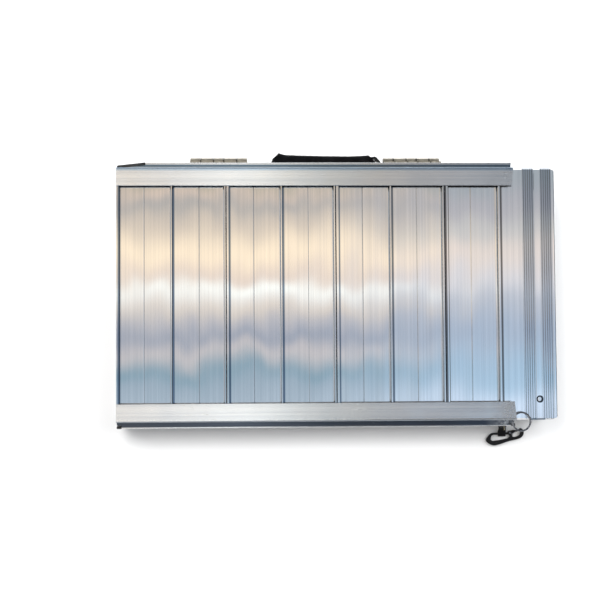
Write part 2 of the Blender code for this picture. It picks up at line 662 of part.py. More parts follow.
def sleeve(half, wall):
    """The grip: a flattened tube wrapped round the webbing, open at both ends."""
    height, depth = SLEEVE_SIZE
    r = depth / 2
    outer = arc((HANDLE_W + height / 2 - r, SLEEVE_LIFT), r, -90, 90, 6)
    outer += arc((HANDLE_W - height / 2 + r, SLEEVE_LIFT), r, 90, 270, 6)
    bm = bmesh.new()
    prism(bm, outer, SLEEVE_LEFT_X, SLEEVE_RIGHT_X, lambda w, d, x: half.at(x, wall + d, w))
    made = half_piece("handle_sleeve", half, bm, "black_webbing", smooth=True)
    slot = bmesh.new()
    reach_w, reach_d = WEBBING_WIDTH / 2 + TOUCH, WEBBING / 2 + TOUCH
    outline = [(HANDLE_W - reach_w, SLEEVE_LIFT - reach_d), (HANDLE_W + reach_w, SLEEVE_LIFT - reach_d)]
    outline += [(HANDLE_W + reach_w, SLEEVE_LIFT + reach_d), (HANDLE_W - reach_w, SLEEVE_LIFT + reach_d)]
    low, high = SLEEVE_LEFT_X - 0.002, SLEEVE_RIGHT_X + 0.002
    prism(slot, outline, low, high, lambda w, d, x: half.at(x, wall + d, w))
    cut(made, slot, "sleeve_slot_tool")


def half_piece(name, half, bm, material, smooth=False):
    """A piece described in a half's frame under its own full name."""
    return node(name, bm, material, half.parent, half.origin, smooth)


def strap_path():
    """The closure webbing's centre line, doubled, as (distance out from the outer curb, height)."""
    spread = STRAP / 2 + 0.00015
    first = STRAP + TOUCH + 0.00015
    middle = [(first, STRAP_RIVET_W + STRAP_TOP), (first, 0.0230), (first + 0.0007, 0.0175)]
    middle += [(first + 0.0030, 0.0130), (first + 0.0064, 0.0093)]
    outer, inner = [], []
    for i, (d, z) in enumerate(middle):
        d0, z0 = middle[max(i - 1, 0)]
        d1, z1 = middle[min(i + 1, len(middle) - 1)]
        length = math.hypot(d1 - d0, z1 - z0)
        nd, nz = -(z1 - z0) / length, (d1 - d0) / length
        outer.append((d + nd * spread, z + nz * spread))
        inner.append((d - nd * spread, z - nz * spread))
    loop = arc(EYE_BAR, EYE_BAR_R + TOUCH + STRAP / 2, 95, -155, 12)
    return outer + loop + inner[::-1]


def closure(half):
    """The tether: doubled webbing riveted to the lower outer curb, round the snap hook's eye."""
    face = -HALF_WIDTH / 2
    bm = bmesh.new()
    across = (STRAP_X - STRAP_WIDTH / 2, STRAP_X + STRAP_WIDTH / 2)
    ribbon(bm, strap_path(), STRAP, across, lambda d, w, x: half.at(x, face - d, w))
    strap = half_piece("closure_strap", half, bm, "black_webbing", smooth=True)
    drill(half, strap, [(STRAP_X, face - STRAP, STRAP_RIVET_W)], HANDLE_SHANK_R + TOUCH, 0.0030, "hole")
    spot = (STRAP_X, face - 2 * STRAP - 2 * TOUCH - 0.0001, STRAP_RIVET_W)
    rivet_across("closure_strap_rivet", half, spot, -1, HANDLE_SHANK_R, WALL + 2 * STRAP + 2 * TOUCH, "black_steel")


def hook_place(parent_at):
    """Puts the hook's own frame (s along it, e across it, z up) into the scene."""
    c, n = math.cos(HOOK_TURN), math.sin(HOOK_TURN)
    x0, y0 = HOOK_TIP[0], CENTRE_Y + HOOK_TIP[1]
    return lambda s, e, z: Vector((x0 + s * c - e * n, y0 + s * n + e * c, HOOK_Z + z)) - Vector(parent_at)


def snap_hook():
    """The snap hook lying on its side: a cast body with a wide eye, a sprung gate, its pin and its spring."""
    swing = joint_empty("hook_axis", (STRAP_X, CENTRE_Y - HALF_WIDTH / 2 - 0.0016, 0.0220))
    at = hook_place(swing.location)
    here = swing.location.copy()
    half_thick = HOOK_THICKNESS / 2
    bm = bmesh.new()
    prism(bm, smooth_loop(HOOK_OUTLINE, 2), -half_thick, half_thick, at)
    body = node("snap_hook_body", bm, "black_steel", swing, here, smooth=True)
    slot = bmesh.new()
    prism(slot, EYE_SLOT, -half_thick - 0.001, half_thick + 0.001, at)
    cut(body, slot, "eye_slot_tool")
    bore = bmesh.new()
    centre = at(*GATE_PIVOT, 0)
    turned(bore, [(0, -0.004), (GATE_PIN_R + TOUCH, -0.004), (GATE_PIN_R + TOUCH, 0.004), (0, 0.004)], 8,
           Matrix.Translation(centre))
    cut(body, bore, "gate_bore_tool")
    gate(swing, at)


def gate(swing, at):
    """The gate: a bar across the jaw with two cheeks on the body, its pivot pin and a leaf spring."""
    pivot_world = at(*GATE_PIVOT, 0) + swing.location
    hinge = joint_empty("gate_axis", pivot_world)
    hinge.parent = swing
    hinge.location = pivot_world - swing.location
    cheek = HOOK_THICKNESS / 2 + TOUCH
    wide = cheek + CHEEK
    shift = at(*GATE_PIVOT, 0)
    local = lambda s, e, z: at(s, e, z) - shift
    bm = bmesh.new()
    prism(bm, GATE_BAR, -wide, wide, local)
    bar = part_of_hook("snap_hook_gate", bm, "black_steel", hinge)
    cheeks = bmesh.new()
    outline = arc(GATE_PIVOT, CHEEK_R, 90, 270, 6) + [(0.0406, 0.0034), (0.0406, 0.0070)]
    for low, high in ((-wide, -cheek), (cheek, wide)):
        prism(cheeks, outline, low, high, local)
    tool = part_of_hook("gate_cheeks", cheeks, "black_steel", hinge)
    tool.hide_render = True
    tool.display_type = "WIRE"
    join = bar.modifiers.new("cheeks", "BOOLEAN")
    join.operation = "UNION"
    join.solver = "EXACT"
    join.object = tool
    hole = bmesh.new()
    turned(hole, [(0, -0.005), (GATE_PIN_R + TOUCH, -0.005), (GATE_PIN_R + TOUCH, 0.005), (0, 0.005)], 8,
           Matrix.Identity(4))
    cut(bar, hole, "gate_hole_tool")
    pin = bmesh.new()
    head = wide + TOUCH
    profile = [(0, -head - 0.0006), (GATE_PIN_R * 1.7, -head - 0.0006), (GATE_PIN_R * 1.7, -head), (GATE_PIN_R, -head)]
    profile += [(r, -z) for r, z in reversed(profile)]
    turned(pin, profile, 8, Matrix.Identity(4))
    part_of_hook("snap_hook_gate_pin", pin, "dark_steel", swing, shift)
    leaf = bmesh.new()
    prism(leaf, GATE_SPRING, -0.0011, 0.0011, at)
    part_of_hook("snap_hook_spring", leaf, "spring_steel", swing)


def part_of_hook(name, bm, material, parent, offset=(0, 0, 0)):
    """A hook piece in its parent empty's own frame."""
    made = node(name, bm, material, smooth=True)
    made.parent = parent
    made.location = offset
    return made


def split_ring(upper):
    """The ring through the upper outer rail's web, lying on the lip's underside."""
    hole = Vector((RING_HOLE_X, CENTRE_Y - WEB_V + WALL / 2, FOLDED_DEPTH - RING_W))
    swing = joint_empty("ring_axis", hole)
    swing.parent = upper.parent
    swing.location = hole - upper.parent.location
    yaw_cos, yaw_sin = math.cos(RING_YAW), math.sin(RING_YAW)
    path = []
    for i in range(RING_SEGMENTS):
        a = 2 * math.pi * i / RING_SEGMENTS
        along = RING_R * (1 - math.cos(a))
        out, across = along * math.cos(RING_TILT), RING_R * math.sin(a)
        x, y = out * yaw_cos - across * yaw_sin, out * yaw_sin + across * yaw_cos
        path.append((x, y, -along * math.sin(RING_TILT)))
    bm = bmesh.new()
    tube(bm, path, RING_WIRE, 6, closed=True)
    part_of_hook("split_ring", bm, "dark_steel", swing)


def build():
    for existing in list(bpy.data.objects):
        bpy.data.objects.remove(existing, do_unlink=True)
    fold = joint_empty("fold_axis", (0, CENTRE_Y + HINGE_V, HINGE_Z))
    lower = Half("lower", None)
    upper = Half("upper", fold)
    for half in (lower, upper):
        rail(half, "hinge", +1)
        rail(half, "outer", -1)
        for index in range(PLANK_COUNT):
            plank(half, index)
        hinge_end_cap(half)
        outer_cap(half, "left", LEFT_X, LEFT_X + CAP_LENGTH - TOUCH)
        outer_cap(half, "right", RAIL_RIGHT_X - RIGHT_CAP_LENGTH + TOUCH, RAIL_RIGHT_X + ROUND)
        hinge_rivets(half)
    for side in HINGE_CENTRES:
        hinge_leaf(lower, side, (0, 2, 4))
        hinge_leaf(upper, side, (1, 3))
        hinge_pin(side)
    handle(lower)
    closure(lower)
    snap_hook()
    split_ring(upper)


build()
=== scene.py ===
# %% [markdown]
# # A folding aluminium dog ramp
# The ramp is two ribbed aluminium decks joined by butt hinges, folded shut like a case and lying flat with
# the underside of its upper half showing. The CAD frame holds every metal piece at its true size. This lesson
# gives those pieces their finishes and edges, and makes the pieces that CAD leaves plain: the carry handle,
# the webbing tether with its stitches, the two-turn split ring and the small rivets.

# %% Load the frame
import math

import bmesh
import bpy
from mathutils import Matrix, Vector


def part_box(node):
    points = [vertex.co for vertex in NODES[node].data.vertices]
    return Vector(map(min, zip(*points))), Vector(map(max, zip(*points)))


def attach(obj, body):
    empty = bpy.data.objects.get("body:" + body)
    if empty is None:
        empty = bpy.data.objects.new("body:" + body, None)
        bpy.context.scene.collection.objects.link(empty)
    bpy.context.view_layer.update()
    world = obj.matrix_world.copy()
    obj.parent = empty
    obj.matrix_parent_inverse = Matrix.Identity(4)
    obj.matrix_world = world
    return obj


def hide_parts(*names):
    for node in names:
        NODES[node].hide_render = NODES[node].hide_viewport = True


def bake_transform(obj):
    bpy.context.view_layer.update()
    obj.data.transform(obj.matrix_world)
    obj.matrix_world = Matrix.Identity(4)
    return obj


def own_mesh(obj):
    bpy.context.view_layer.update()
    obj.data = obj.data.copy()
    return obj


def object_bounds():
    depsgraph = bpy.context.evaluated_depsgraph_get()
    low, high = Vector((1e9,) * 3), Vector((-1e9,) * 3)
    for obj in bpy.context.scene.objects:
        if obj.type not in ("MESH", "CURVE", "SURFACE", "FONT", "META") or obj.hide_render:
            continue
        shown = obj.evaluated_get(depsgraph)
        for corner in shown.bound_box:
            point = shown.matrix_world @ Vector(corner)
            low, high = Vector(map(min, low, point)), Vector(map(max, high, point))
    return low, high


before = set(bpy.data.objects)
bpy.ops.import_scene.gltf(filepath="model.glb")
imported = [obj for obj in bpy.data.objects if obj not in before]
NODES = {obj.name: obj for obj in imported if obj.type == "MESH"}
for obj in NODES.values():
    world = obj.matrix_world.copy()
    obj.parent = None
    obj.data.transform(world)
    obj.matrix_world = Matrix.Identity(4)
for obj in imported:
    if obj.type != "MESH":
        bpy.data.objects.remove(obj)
CAD_BOX = [list(corner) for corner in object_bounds()]
scene = bpy.context.scene
print("CAD pieces:", len(NODES), "box", CAD_BOX)

# %% [markdown]
# ## Measures read from the frame
# Everything that is added sits on a CAD piece, so its place is worked out from that piece's box. The two
# halves mirror each other about the height of the seam between them.

# %% Places that the later cells share
rail_low, rail_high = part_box("lower_hinge_rail")
outer_low, outer_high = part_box("lower_outer_rail")
lip_low, lip_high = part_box("lower_lip_plank")
RAMP_Y = (rail_high.y + outer_low.y) / 2
RAMP_TOP = CAD_BOX[1][2]
SEAM_Z = RAMP_TOP / 2
CURB_FACE = rail_high.y
LEFT_END = rail_low.x
RIGHT_END = lip_high.x
print("centre line y", round(RAMP_Y, 4), "folded depth", round(RAMP_TOP, 4))

# %% [markdown]
# ## Camera
# The ramp lies on the floor and is looked at from almost straight above, a little from the left and from the
# snap hook's side. A longish lens keeps the long edges nearly parallel.

# %% Camera
CAMERA_SPOT = Vector((-0.1762, RAMP_Y - 0.0674, 1.994))
VIEW_DIRECTION = Vector((0.0418, 0.0546, -0.9976)).normalized()
VIEW_UP = Vector((0.0030, 0.9985, 0.0548))
LENS = 83.57
SHIFT = (0.0525, -0.0550)

camera_data = bpy.data.cameras.new("camera")
camera_data.lens = LENS
camera_data.sensor_width = 36.0
camera_data.shift_x, camera_data.shift_y = SHIFT
camera_data.clip_end = 50.0
camera = bpy.data.objects.new("camera", camera_data)
scene.collection.objects.link(camera)
side = VIEW_DIRECTION.cross(VIEW_UP).normalized()
up = side.cross(VIEW_DIRECTION)
turn = Matrix((side, up, -VIEW_DIRECTION)).transposed().to_4x4()
camera.matrix_world = Matrix.Translation(CAMERA_SPOT) @ turn
scene.camera = camera
print("camera at", [round(c, 3) for c in camera.location])

# %% [markdown]
# ## Wiring nodes
# The sky, every finish and the trees that repeat small pieces are node graphs. A small class adds nodes and
# wires them, so that a graph reads as a few short lines: an input may be a plain number or colour, or the
# wire that comes out of another node.

# %% Short ways to add and wire nodes
class Wiring:
    """Adds and wires nodes in one node tree."""

    def __init__(self, tree):
        self.nodes, self.links = tree.nodes, tree.links

    def add(self, kind, inputs, output=0, **settings):
        """A node with its settings; each input is a value or another node's wire. Gives its output."""
        node = self.nodes.new(kind)
        for key, value in settings.items():
            setattr(node, key, value)
        for socket, value in inputs.items():
            if isinstance(value, bpy.types.NodeSocket):
                self.links.new(value, node.inputs[socket])
            else:
                node.inputs[socket].default_value = value
        return node.outputs[output] if node.outputs else node

    def math(self, operation, a, b=0.0):
        return self.add("ShaderNodeMath", {0: a, 1: b}, operation=operation)

    def product(self, first, *others):
        for other in others:
            first = self.math("MULTIPLY", first, other)
        return first

    def distance(self, value, centre):
        """How far a value is from a centre, either way."""
        return self.math("ABSOLUTE", self.math("SUBTRACT", value, centre))

    def level(self, value, low, high, to_low=0.0, to_high=1.0, smooth=False):
        """to_low below low, to_high above high, and a straight or smooth step between."""
        span = {"Value": value, "From Min": low, "From Max": high, "To Min": to_low, "To Max": to_high}
        return self.add("ShaderNodeMapRange", span, "Result",
                        interpolation_type="SMOOTHSTEP" if smooth else "LINEAR")

    def band(self, value, low, high, edge):
        """1 between low and high and 0 outside, with soft edges."""
        return self.product(self.level(value, low - edge, low + edge),
                            self.level(value, high - edge, high + edge, 1.0, 0.0))

    def blend(self, factor, first, second):
        """A colour between first and second; either may be a colour or a wire."""
        first, second = ((*c, 1.0) if isinstance(c, tuple) else c for c in (first, second))
        return self.add("ShaderNodeMix", {"Factor": factor, 6: first, 7: second}, 2, data_type="RGBA")

    def split(self, vector):
        """The vector's x, y and z as three wires."""
        return self.add("ShaderNodeSeparateXYZ", {0: vector}).node.outputs


print("wiring ready")

# %% [markdown]
# ## Studio
# Bright aluminium shows what is above it more than its own colour, so the studio is built as a sky: soft
# strips of warm, white and cool light that lie across the ramp and are set by direction only. Because the sky
# is a world shader, it never shows as an object. Two large soft lamps add the faint shadows on a white floor.

# %% Sky of soft strips
# Each strip is (how far it leans across the ramp, its colour); AROUND's strips lean along the ramp instead.
LEFT_STRIPS = (
    (-0.045, (0.45, 0.55, 0.65)),
    (-0.030, (0.40, 0.50, 0.60)),
    (-0.020, (0.25, 0.40, 0.50)),
    (-0.005, (0.70, 0.65, 0.65)),
    (0.005, (0.35, 0.40, 0.50)),
    (0.015, (0.55, 0.55, 0.60)),
    (0.025, (0.85, 0.75, 0.65)),
    (0.030, (0.95, 0.90, 0.85)),
    (0.038, (1.25, 1.30, 1.25)),
    (0.045, (0.90, 0.75, 0.65)),
    (0.065, (1.20, 1.00, 0.75)),
    (0.090, (0.75, 0.65, 0.55)),
    (0.100, (0.45, 0.45, 0.45)),
    (0.107, (0.80, 0.65, 0.55)),
    (0.115, (0.55, 0.50, 0.40)),
)
RIGHT_STRIPS = (
    (-0.045, (0.75, 0.90, 1.10)),
    (-0.025, (0.45, 0.65, 0.85)),
    (0.010, (0.45, 0.55, 0.70)),
    (0.030, (0.55, 0.60, 0.70)),
    (0.045, (0.80, 0.80, 0.85)),
    (0.065, (0.90, 0.80, 0.75)),
    (0.080, (0.65, 0.65, 0.65)),
    (0.100, (0.50, 0.50, 0.55)),
    (0.115, (0.40, 0.45, 0.50)),
)
AROUND = (
    (-0.060, (1.20, 1.10, 1.00)),
    (-0.020, (0.50, 0.60, 0.75)),
    (0.020, (3.00, 3.05, 3.00)),
    (0.065, (0.30, 0.40, 0.45)),
    (0.110, (0.15, 0.15, 0.15)),
    (0.150, (0.20, 0.15, 0.15)),
    (0.200, (0.10, 0.10, 0.10)),
)
HORIZON = (0.030, 0.055, 0.085)
LOW_SKY = (0.50, 0.52, 0.55)
STRIP_SPAN = 0.30            # the strips' colours cover leans from minus to plus this
STRIPS_MIDDLE = 0.04
LOWEST = 0.05                # directions below this height count as this high
LEFT_TO_RIGHT = (0.090, 0.190)
STRIPS_END = (0.125, 0.200)
SKY_END = (0.35, 0.80)       # the bright sky above fades to the dark ring that gives metal its dark lines
LOW_SKY_FROM = (0.95, 1.40)  # a grey sky below the ring keeps the metal light when it is seen from the side
LOW_SKY_TO = (3.8, 6.5)
LONG_SIDE = 0.35             # the bright sky is this much shorter on the hinges' side


def strip_colour(wiring, value, strips):
    """The colour of the strip that the value falls on."""
    spot = wiring.math("DIVIDE", wiring.math("ADD", value, STRIP_SPAN), 2 * STRIP_SPAN)
    ramp = wiring.nodes.new("ShaderNodeValToRGB")
    ramp.color_ramp.interpolation = "EASE"
    elements = ramp.color_ramp.elements
    elements.remove(elements[1])
    for index, (lean, colour) in enumerate(strips):
        place = (lean + STRIP_SPAN) / (2 * STRIP_SPAN)
        stop = elements[0] if index == 0 else elements.new(place)
        stop.position = place
        stop.color = (*colour, 1.0)
    wiring.links.new(spot, ramp.inputs["Fac"])
    return ramp.outputs["Color"]


def build_sky():
    """A world whose colour depends on how far a direction leans across and along the ramp."""
    world = bpy.data.worlds.new("soft_strips")
    world.use_nodes = True
    world.node_tree.nodes.clear()
    wiring = Wiring(world.node_tree)
    direction = wiring.add("ShaderNodeTexCoord", {}, "Generated")
    dx, dy, dz = wiring.split(direction)
    height = wiring.math("MAXIMUM", dz, LOWEST)
    across = wiring.math("DIVIDE", dy, height)
    along = wiring.math("DIVIDE", dx, height)
    left, right = (strip_colour(wiring, across, strips) for strips in (LEFT_STRIPS, RIGHT_STRIPS))
    inner = wiring.blend(wiring.level(along, *LEFT_TO_RIGHT, smooth=True), left, right)
    off_middle = wiring.distance(across, STRIPS_MIDDLE)
    ends = (edge - STRIPS_MIDDLE for edge in STRIPS_END)
    outer = strip_colour(wiring, along, AROUND)
    near = wiring.blend(wiring.level(off_middle, *ends, smooth=True), inner, outer)
    lower = wiring.product(wiring.math("MINIMUM", across, 0.0), LONG_SIDE)
    spread = wiring.math("ADD", wiring.math("MAXIMUM", across, 0.0), lower)
    squares = wiring.math("ADD", wiring.product(spread, spread), wiring.product(along, along))
    reach = wiring.math("SQRT", squares)
    sky = near
    for step, colour in ((SKY_END, HORIZON), (LOW_SKY_FROM, LOW_SKY), (LOW_SKY_TO, HORIZON)):
        sky = wiring.blend(wiring.level(reach, *step, smooth=True), sky, colour)
    wiring.add("ShaderNodeOutputWorld", {"Surface": wiring.add("ShaderNodeBackground", {"Color": sky})})
    scene.world = world
    return len(LEFT_STRIPS) + len(RIGHT_STRIPS) + len(AROUND)


print("sky strips:", build_sky())

# %% Floor and lamps
FLOOR_WHITE = 0.90
FLOOR_HALF = 12.0
LAMP_SIZE = (1.8, 1.8)
LAMP_AIM = Vector((0, 0, 0.05))


def build_floor():
    """A wide white floor that the ramp lies on."""
    mesh = bpy.data.meshes.new("floor")
    corners = [(x * FLOOR_HALF, y * FLOOR_HALF, 0) for x, y in ((-1, -1), (1, -1), (1, 1), (-1, 1))]
    mesh.from_pydata(corners, [], [(0, 1, 2, 3)])
    floor = bpy.data.objects.new("floor", mesh)
    scene.collection.objects.link(floor)
    white = bpy.data.materials.new("floor_white")
    white.use_nodes = True
    shader = white.node_tree.nodes["Principled BSDF"]
    shader.inputs["Base Color"].default_value = (FLOOR_WHITE, FLOOR_WHITE, FLOOR_WHITE, 1)
    shader.inputs["Roughness"].default_value = 0.9
    shader.inputs["Specular IOR Level"].default_value = 0.1
    mesh.materials.append(white)
    return floor


def soft_lamp(name, spot, power, colour):
    """A large rectangular lamp aimed at the ramp."""
    data = bpy.data.lights.new(name, "AREA")
    data.shape = "RECTANGLE"
    data.size, data.size_y = LAMP_SIZE
    data.energy = power
    data.color = colour
    lamp = bpy.data.objects.new(name, data)
    scene.collection.objects.link(lamp)
    lamp.location = spot
    lamp.rotation_euler = (LAMP_AIM - lamp.location).to_track_quat("-Z", "Y").to_euler()
    lamp.visible_glossy = False
    return lamp


floor = build_floor()
soft_lamp("lamp_left", (-1.2, 1.0, 2.6), 75, (1.0, 0.99, 0.98))
soft_lamp("lamp_right", (1.3, 0.9, 2.6), 65, (0.98, 0.99, 1.0))
scene.view_settings.view_transform = "Standard"
print("floor and two lamps")

# %% [markdown]
# ## Tools for finishes
# Every finish is a small node graph on Object coordinates, which here are metres in the ramp's own frame. A
# recipe adds to the wiring the few things that a finish needs: noise, bump and the Principled shader itself.

# %% A small recipe book for finishes
SHADER_SOCKETS = {
    "colour": "Base Color", "ior": "IOR", "specular": "Specular IOR Level", "sheen": "Sheen Weight",
    "sheen_roughness": "Sheen Roughness", "anisotropic": "Anisotropic", "roughness": "Roughness",
    "metallic": "Metallic", "normal": "Normal"}


class Recipe(Wiring):
    """A new material with its Principled shader, and short ways to feed it."""

    def __init__(self, name):
        self.material = bpy.data.materials.new(name)
        self.material.use_nodes = True
        super().__init__(self.material.node_tree)
        self.shader = self.nodes["Principled BSDF"]
        self.coords = self.add("ShaderNodeTexCoord", {}, "Object")

    def set(self, **values):
        """Uniform values straight on the shader: set(roughness=0.4, metallic=1)."""
        for key, value in values.items():
            self.shader.inputs[SHADER_SOCKETS[key]].default_value = value
        return self

    def feed(self, **wires):
        """Wires into the shader: feed(colour=tint, normal=bumps)."""
        for key, wire in wires.items():
            self.links.new(wire, self.shader.inputs[SHADER_SOCKETS[key]])
        return self

    def stretch(self, scale, turn=(0, 0, 0), source=None):
        inputs = {"Vector": source or self.coords, "Scale": scale, "Rotation": turn}
        return self.add("ShaderNodeMapping", inputs)

    def noise(self, scale, detail=2.0, roughness=0.5, vector=None):
        return self.add("ShaderNodeTexNoise", {"Vector": vector or self.coords, "Scale": scale,
                                               "Detail": detail, "Roughness": roughness}, "Fac")

    def streaks(self, scale, detail, roughness, turn=(0, 0, 0)):
        """Noise with its own scale along each axis, so that it can be stretched into lines."""
        return self.noise(1.0, detail, roughness, self.stretch(scale, turn))

    def threads(self, scale, direction, distortion=0.0):
        """Even waves across the piece's own weave UVs."""
        weave = self.stretch((*scale, 1), source=self.add("ShaderNodeUVMap", {}, "UV", uv_map="weave"))
        return self.add("ShaderNodeTexWave", {"Vector": weave, "Scale": 1.0, "Distortion": distortion},
                        "Fac", bands_direction=direction)

    def bump(self, height, strength, distance, under=None):
        inputs = {"Height": height, "Strength": strength, "Distance": distance}
        if under:
            inputs["Normal"] = under
        return self.add("ShaderNodeBump", inputs)

    def grain(self, spread):
        """Spreads the highlight along the given direction of the piece, across its brushing."""
        tangent = self.add("ShaderNodeVectorTransform", {0: spread}, vector_type="VECTOR",
                           convert_from="OBJECT", convert_to="WORLD")
        self.links.new(tangent, self.shader.inputs["Tangent"])
        return self


def paint(node_names, material):
    """Gives CAD pieces or new pieces one finish."""
    for name in node_names:
        piece = NODES[name] if isinstance(name, str) else name
        piece.data.materials.clear()
        piece.data.materials.append(material)
    return len(node_names)


print("recipes ready")

# %% [markdown]
# ## Deck extrusions
# The planks are pressed through a die, which leaves fine straight lines along each plank and a slightly wavy,
# mirror-bright face. The lines are noise stretched a thousandfold along the plank: as bump they spread the
# reflections sideways, and as a faint tint they are seen in flat light. Each plank also rolls very slightly,
# so a reflection bends from plank to plank.

# %% Deck finish
LIP_HOLE = (0.2797, RAMP_Y - 0.1466)
LIP_EDGE = lip_low.y
# painted shade along the lip's edge covers this span along the ramp
LIP_EDGE_SHADE_SPAN = (0.2670, 0.2870)
GROOVES = ((0.2596, 0.2748), (0.2844, 0.2996))
PLANK_PITCH = 0.1511
# painted shade: these bands and FLANGE_CORNER mark where shade is painted in the corners of the decks'
# underside
JOINT_CORNER = (0.0019, 0.0050)    # beside a plank's first leg, from the plank's left edge
LEG_CORNER = (0.0758, 0.0790)      # beside its middle leg
JOINT_FEET = (-0.0017, 0.0022)     # the feet on both sides of a joint
RAIL_END = outer_high.x
FLANGE_CORNER = (RAMP_Y + 0.1484, RAMP_Y + 0.1492)
UNDERSIDE = (0.0276, 0.0282)       # how far a deck's underside is from the seam, just inside and outside

DULL_DECK, BRIGHT_DECK, LINED_DECK = (0.82, 0.83, 0.84), (0.92, 0.92, 0.92), (0.72, 0.73, 0.75)
# painted shade and blue-grey reflection for the lip's groove groups
GROOVE_SHADE = (0.28, 0.34, 0.42)
HOLE_SHADE, LIP_EDGE_SHADE = (0.07, 0.10, 0.14), (0.10, 0.15, 0.21)
# painted shade for the underside's corners: blue-black on the left part, near-black on the right part
LEFT_CORNER_SHADE, RIGHT_CORNER_SHADE = (0.08, 0.15, 0.24), (0.085, 0.080, 0.078)


def near_point(recipe, x, y, spot, inside, outside):
    """1 within a distance of a point on the deck, fading to 0."""
    dx = recipe.math("SUBTRACT", x, spot[0])
    dy = recipe.math("SUBTRACT", y, spot[1])
    square = recipe.math("ADD", recipe.product(dx, dx), recipe.product(dy, dy))
    return recipe.level(recipe.math("SQRT", square), inside, outside, 1.0, 0.0)


def corner_shade_mask(recipe, x, y, z):
    """1 where shade is painted in the corners on the underside: beside the planks' legs and under the hinge
    rail's flange.

    The painted corners widen towards the lip, and there the feet at the planks' joints are painted dark too.
    """
    soft = 0.0005
    before = PLANK_PITCH / 8
    along = recipe.math("MODULO", recipe.math("ADD", x, before - LEFT_END), PLANK_PITCH)
    along = recipe.math("SUBTRACT", along, before)
    widened = recipe.math("SUBTRACT", along, recipe.level(x, LEFT_END, RIGHT_END, 0.0, 0.0030))
    by_joint = recipe.band(widened, *JOINT_CORNER, soft)
    by_leg = recipe.product(recipe.band(widened, *LEG_CORNER, soft),
                            recipe.level(along, LEG_CORNER[0] - 0.0006, LEG_CORNER[0]))
    feet = recipe.product(recipe.band(along, *JOINT_FEET, soft), recipe.level(x, 0.05, 0.12))
    corners = by_joint
    for other in (by_leg, recipe.level(y, *FLANGE_CORNER), feet):
        corners = recipe.math("MAXIMUM", corners, other)
    return recipe.product(corners, recipe.level(recipe.distance(z, SEAM_Z), *UNDERSIDE),
                          recipe.level(x, RAIL_END - 0.0010, RAIL_END, 1.0, 0.0))


def deck_aluminium():
    recipe = Recipe("deck_aluminium").set(metallic=1.0, anisotropic=0.95)
    fine = recipe.streaks((900, 2.0, 2.0), 3.0, 0.6)
    broad = recipe.streaks((230, 0.8, 0.8), 2.0, 0.5)
    roll = recipe.streaks((22, 6, 6), 1.0, 0.4)
    drift = recipe.noise(9.0)
    x, y, z = recipe.split(recipe.coords)
    tint = recipe.blend(recipe.level(broad, 0.35, 0.65), DULL_DECK, BRIGHT_DECK)
    tint = recipe.blend(recipe.level(fine, 0.50, 0.70, 0.0, 0.4), tint, LINED_DECK)
    # painted shade and blue-grey reflection over the lip's two groove groups, stronger towards the hinge side
    in_groups = recipe.math("MAXIMUM", *(recipe.band(x, *group, 0.0003) for group in GROOVES))
    groove_shade_strength = recipe.level(y, RAMP_Y - 0.11, RAMP_Y + 0.03, 0.15, 0.62)
    tint = recipe.blend(recipe.product(in_groups, groove_shade_strength), tint, GROOVE_SHADE)
    tint = recipe.blend(near_point(recipe, x, y, LIP_HOLE, 0.0044, 0.0056), tint, HOLE_SHADE)
    # painted shade: a dark blue band along the lip's edge
    edge = recipe.product(recipe.level(y, LIP_EDGE + 0.0016, LIP_EDGE + 0.0026, 1.0, 0.0),
                          recipe.band(x, *LIP_EDGE_SHADE_SPAN, 0.0010))
    tint = recipe.blend(edge, tint, LIP_EDGE_SHADE)
    # painted shade in the corners beside the planks' legs and under the hinge rail's flange
    corner_shade = recipe.blend(recipe.level(x, 0.02, 0.14), LEFT_CORNER_SHADE, RIGHT_CORNER_SHADE)
    tint = recipe.blend(recipe.product(corner_shade_mask(recipe, x, y, z), 0.85), tint, corner_shade)
    rough = recipe.level(drift, 0.3, 0.7, 0.055, 0.090)
    rough = recipe.math("ADD", rough, recipe.level(fine, 0.4, 0.7, 0, 0.02))
    lines = recipe.bump(broad, 0.30, 0.00004, recipe.bump(roll, 1.0, 0.00065))
    recipe.feed(colour=tint, roughness=rough, normal=lines).grain((1, 0, 0))
    return recipe.material


HALVES = ("lower", "upper")
DECK_NODES = [f"{half}_{part}" for half in HALVES for part in ("plank_1", "plank_2", "plank_3", "lip_plank")]
print("deck pieces painted:", paint(DECK_NODES, deck_aluminium()))

# %% [markdown]
# ## Rails
# The rails are the same metal pulled the other way: their lines run along the ramp. They are what the floor,
# the car and other cargo rub against, so they are a little duller and carry short scuffs and small dents.

# %% Rail finish
FRONT_STEP = (0.1738, 0.1822)      # the step outside each web, as distances from the ramp's centre line
HINGE_STEP = (0.1770, 0.1806)
WEB_ROLL = (0.1728, 0.1760)        # the rolled corner where the flange turns down into the web
COOL_EDGE = (0.1690, 0.1712)
STEP_DEPTH = (0.0380, 0.0385)      # distances from the seam that tell the step from the flange above it
FLANGE_DEPTH = (0.0400, 0.0412)

DULL_RAIL, BRIGHT_RAIL, LINED_RAIL = (0.80, 0.81, 0.82), (0.91, 0.91, 0.90), (0.70, 0.71, 0.72)
BARE_SCUFF, RUBBED_END = (0.93, 0.93, 0.92), (0.95, 0.96, 0.97)
# painted shade on the steps outside the webs, and painted reflections on the rolled corner and the hinge
# side's flange edge
FRONT_SHADE, HINGE_SHADE = (0.030, 0.045, 0.070), (0.10, 0.16, 0.22)
ROLL_REFLECTION, COOL_REFLECTION = (0.40, 0.44, 0.49), (0.42, 0.54, 0.66)


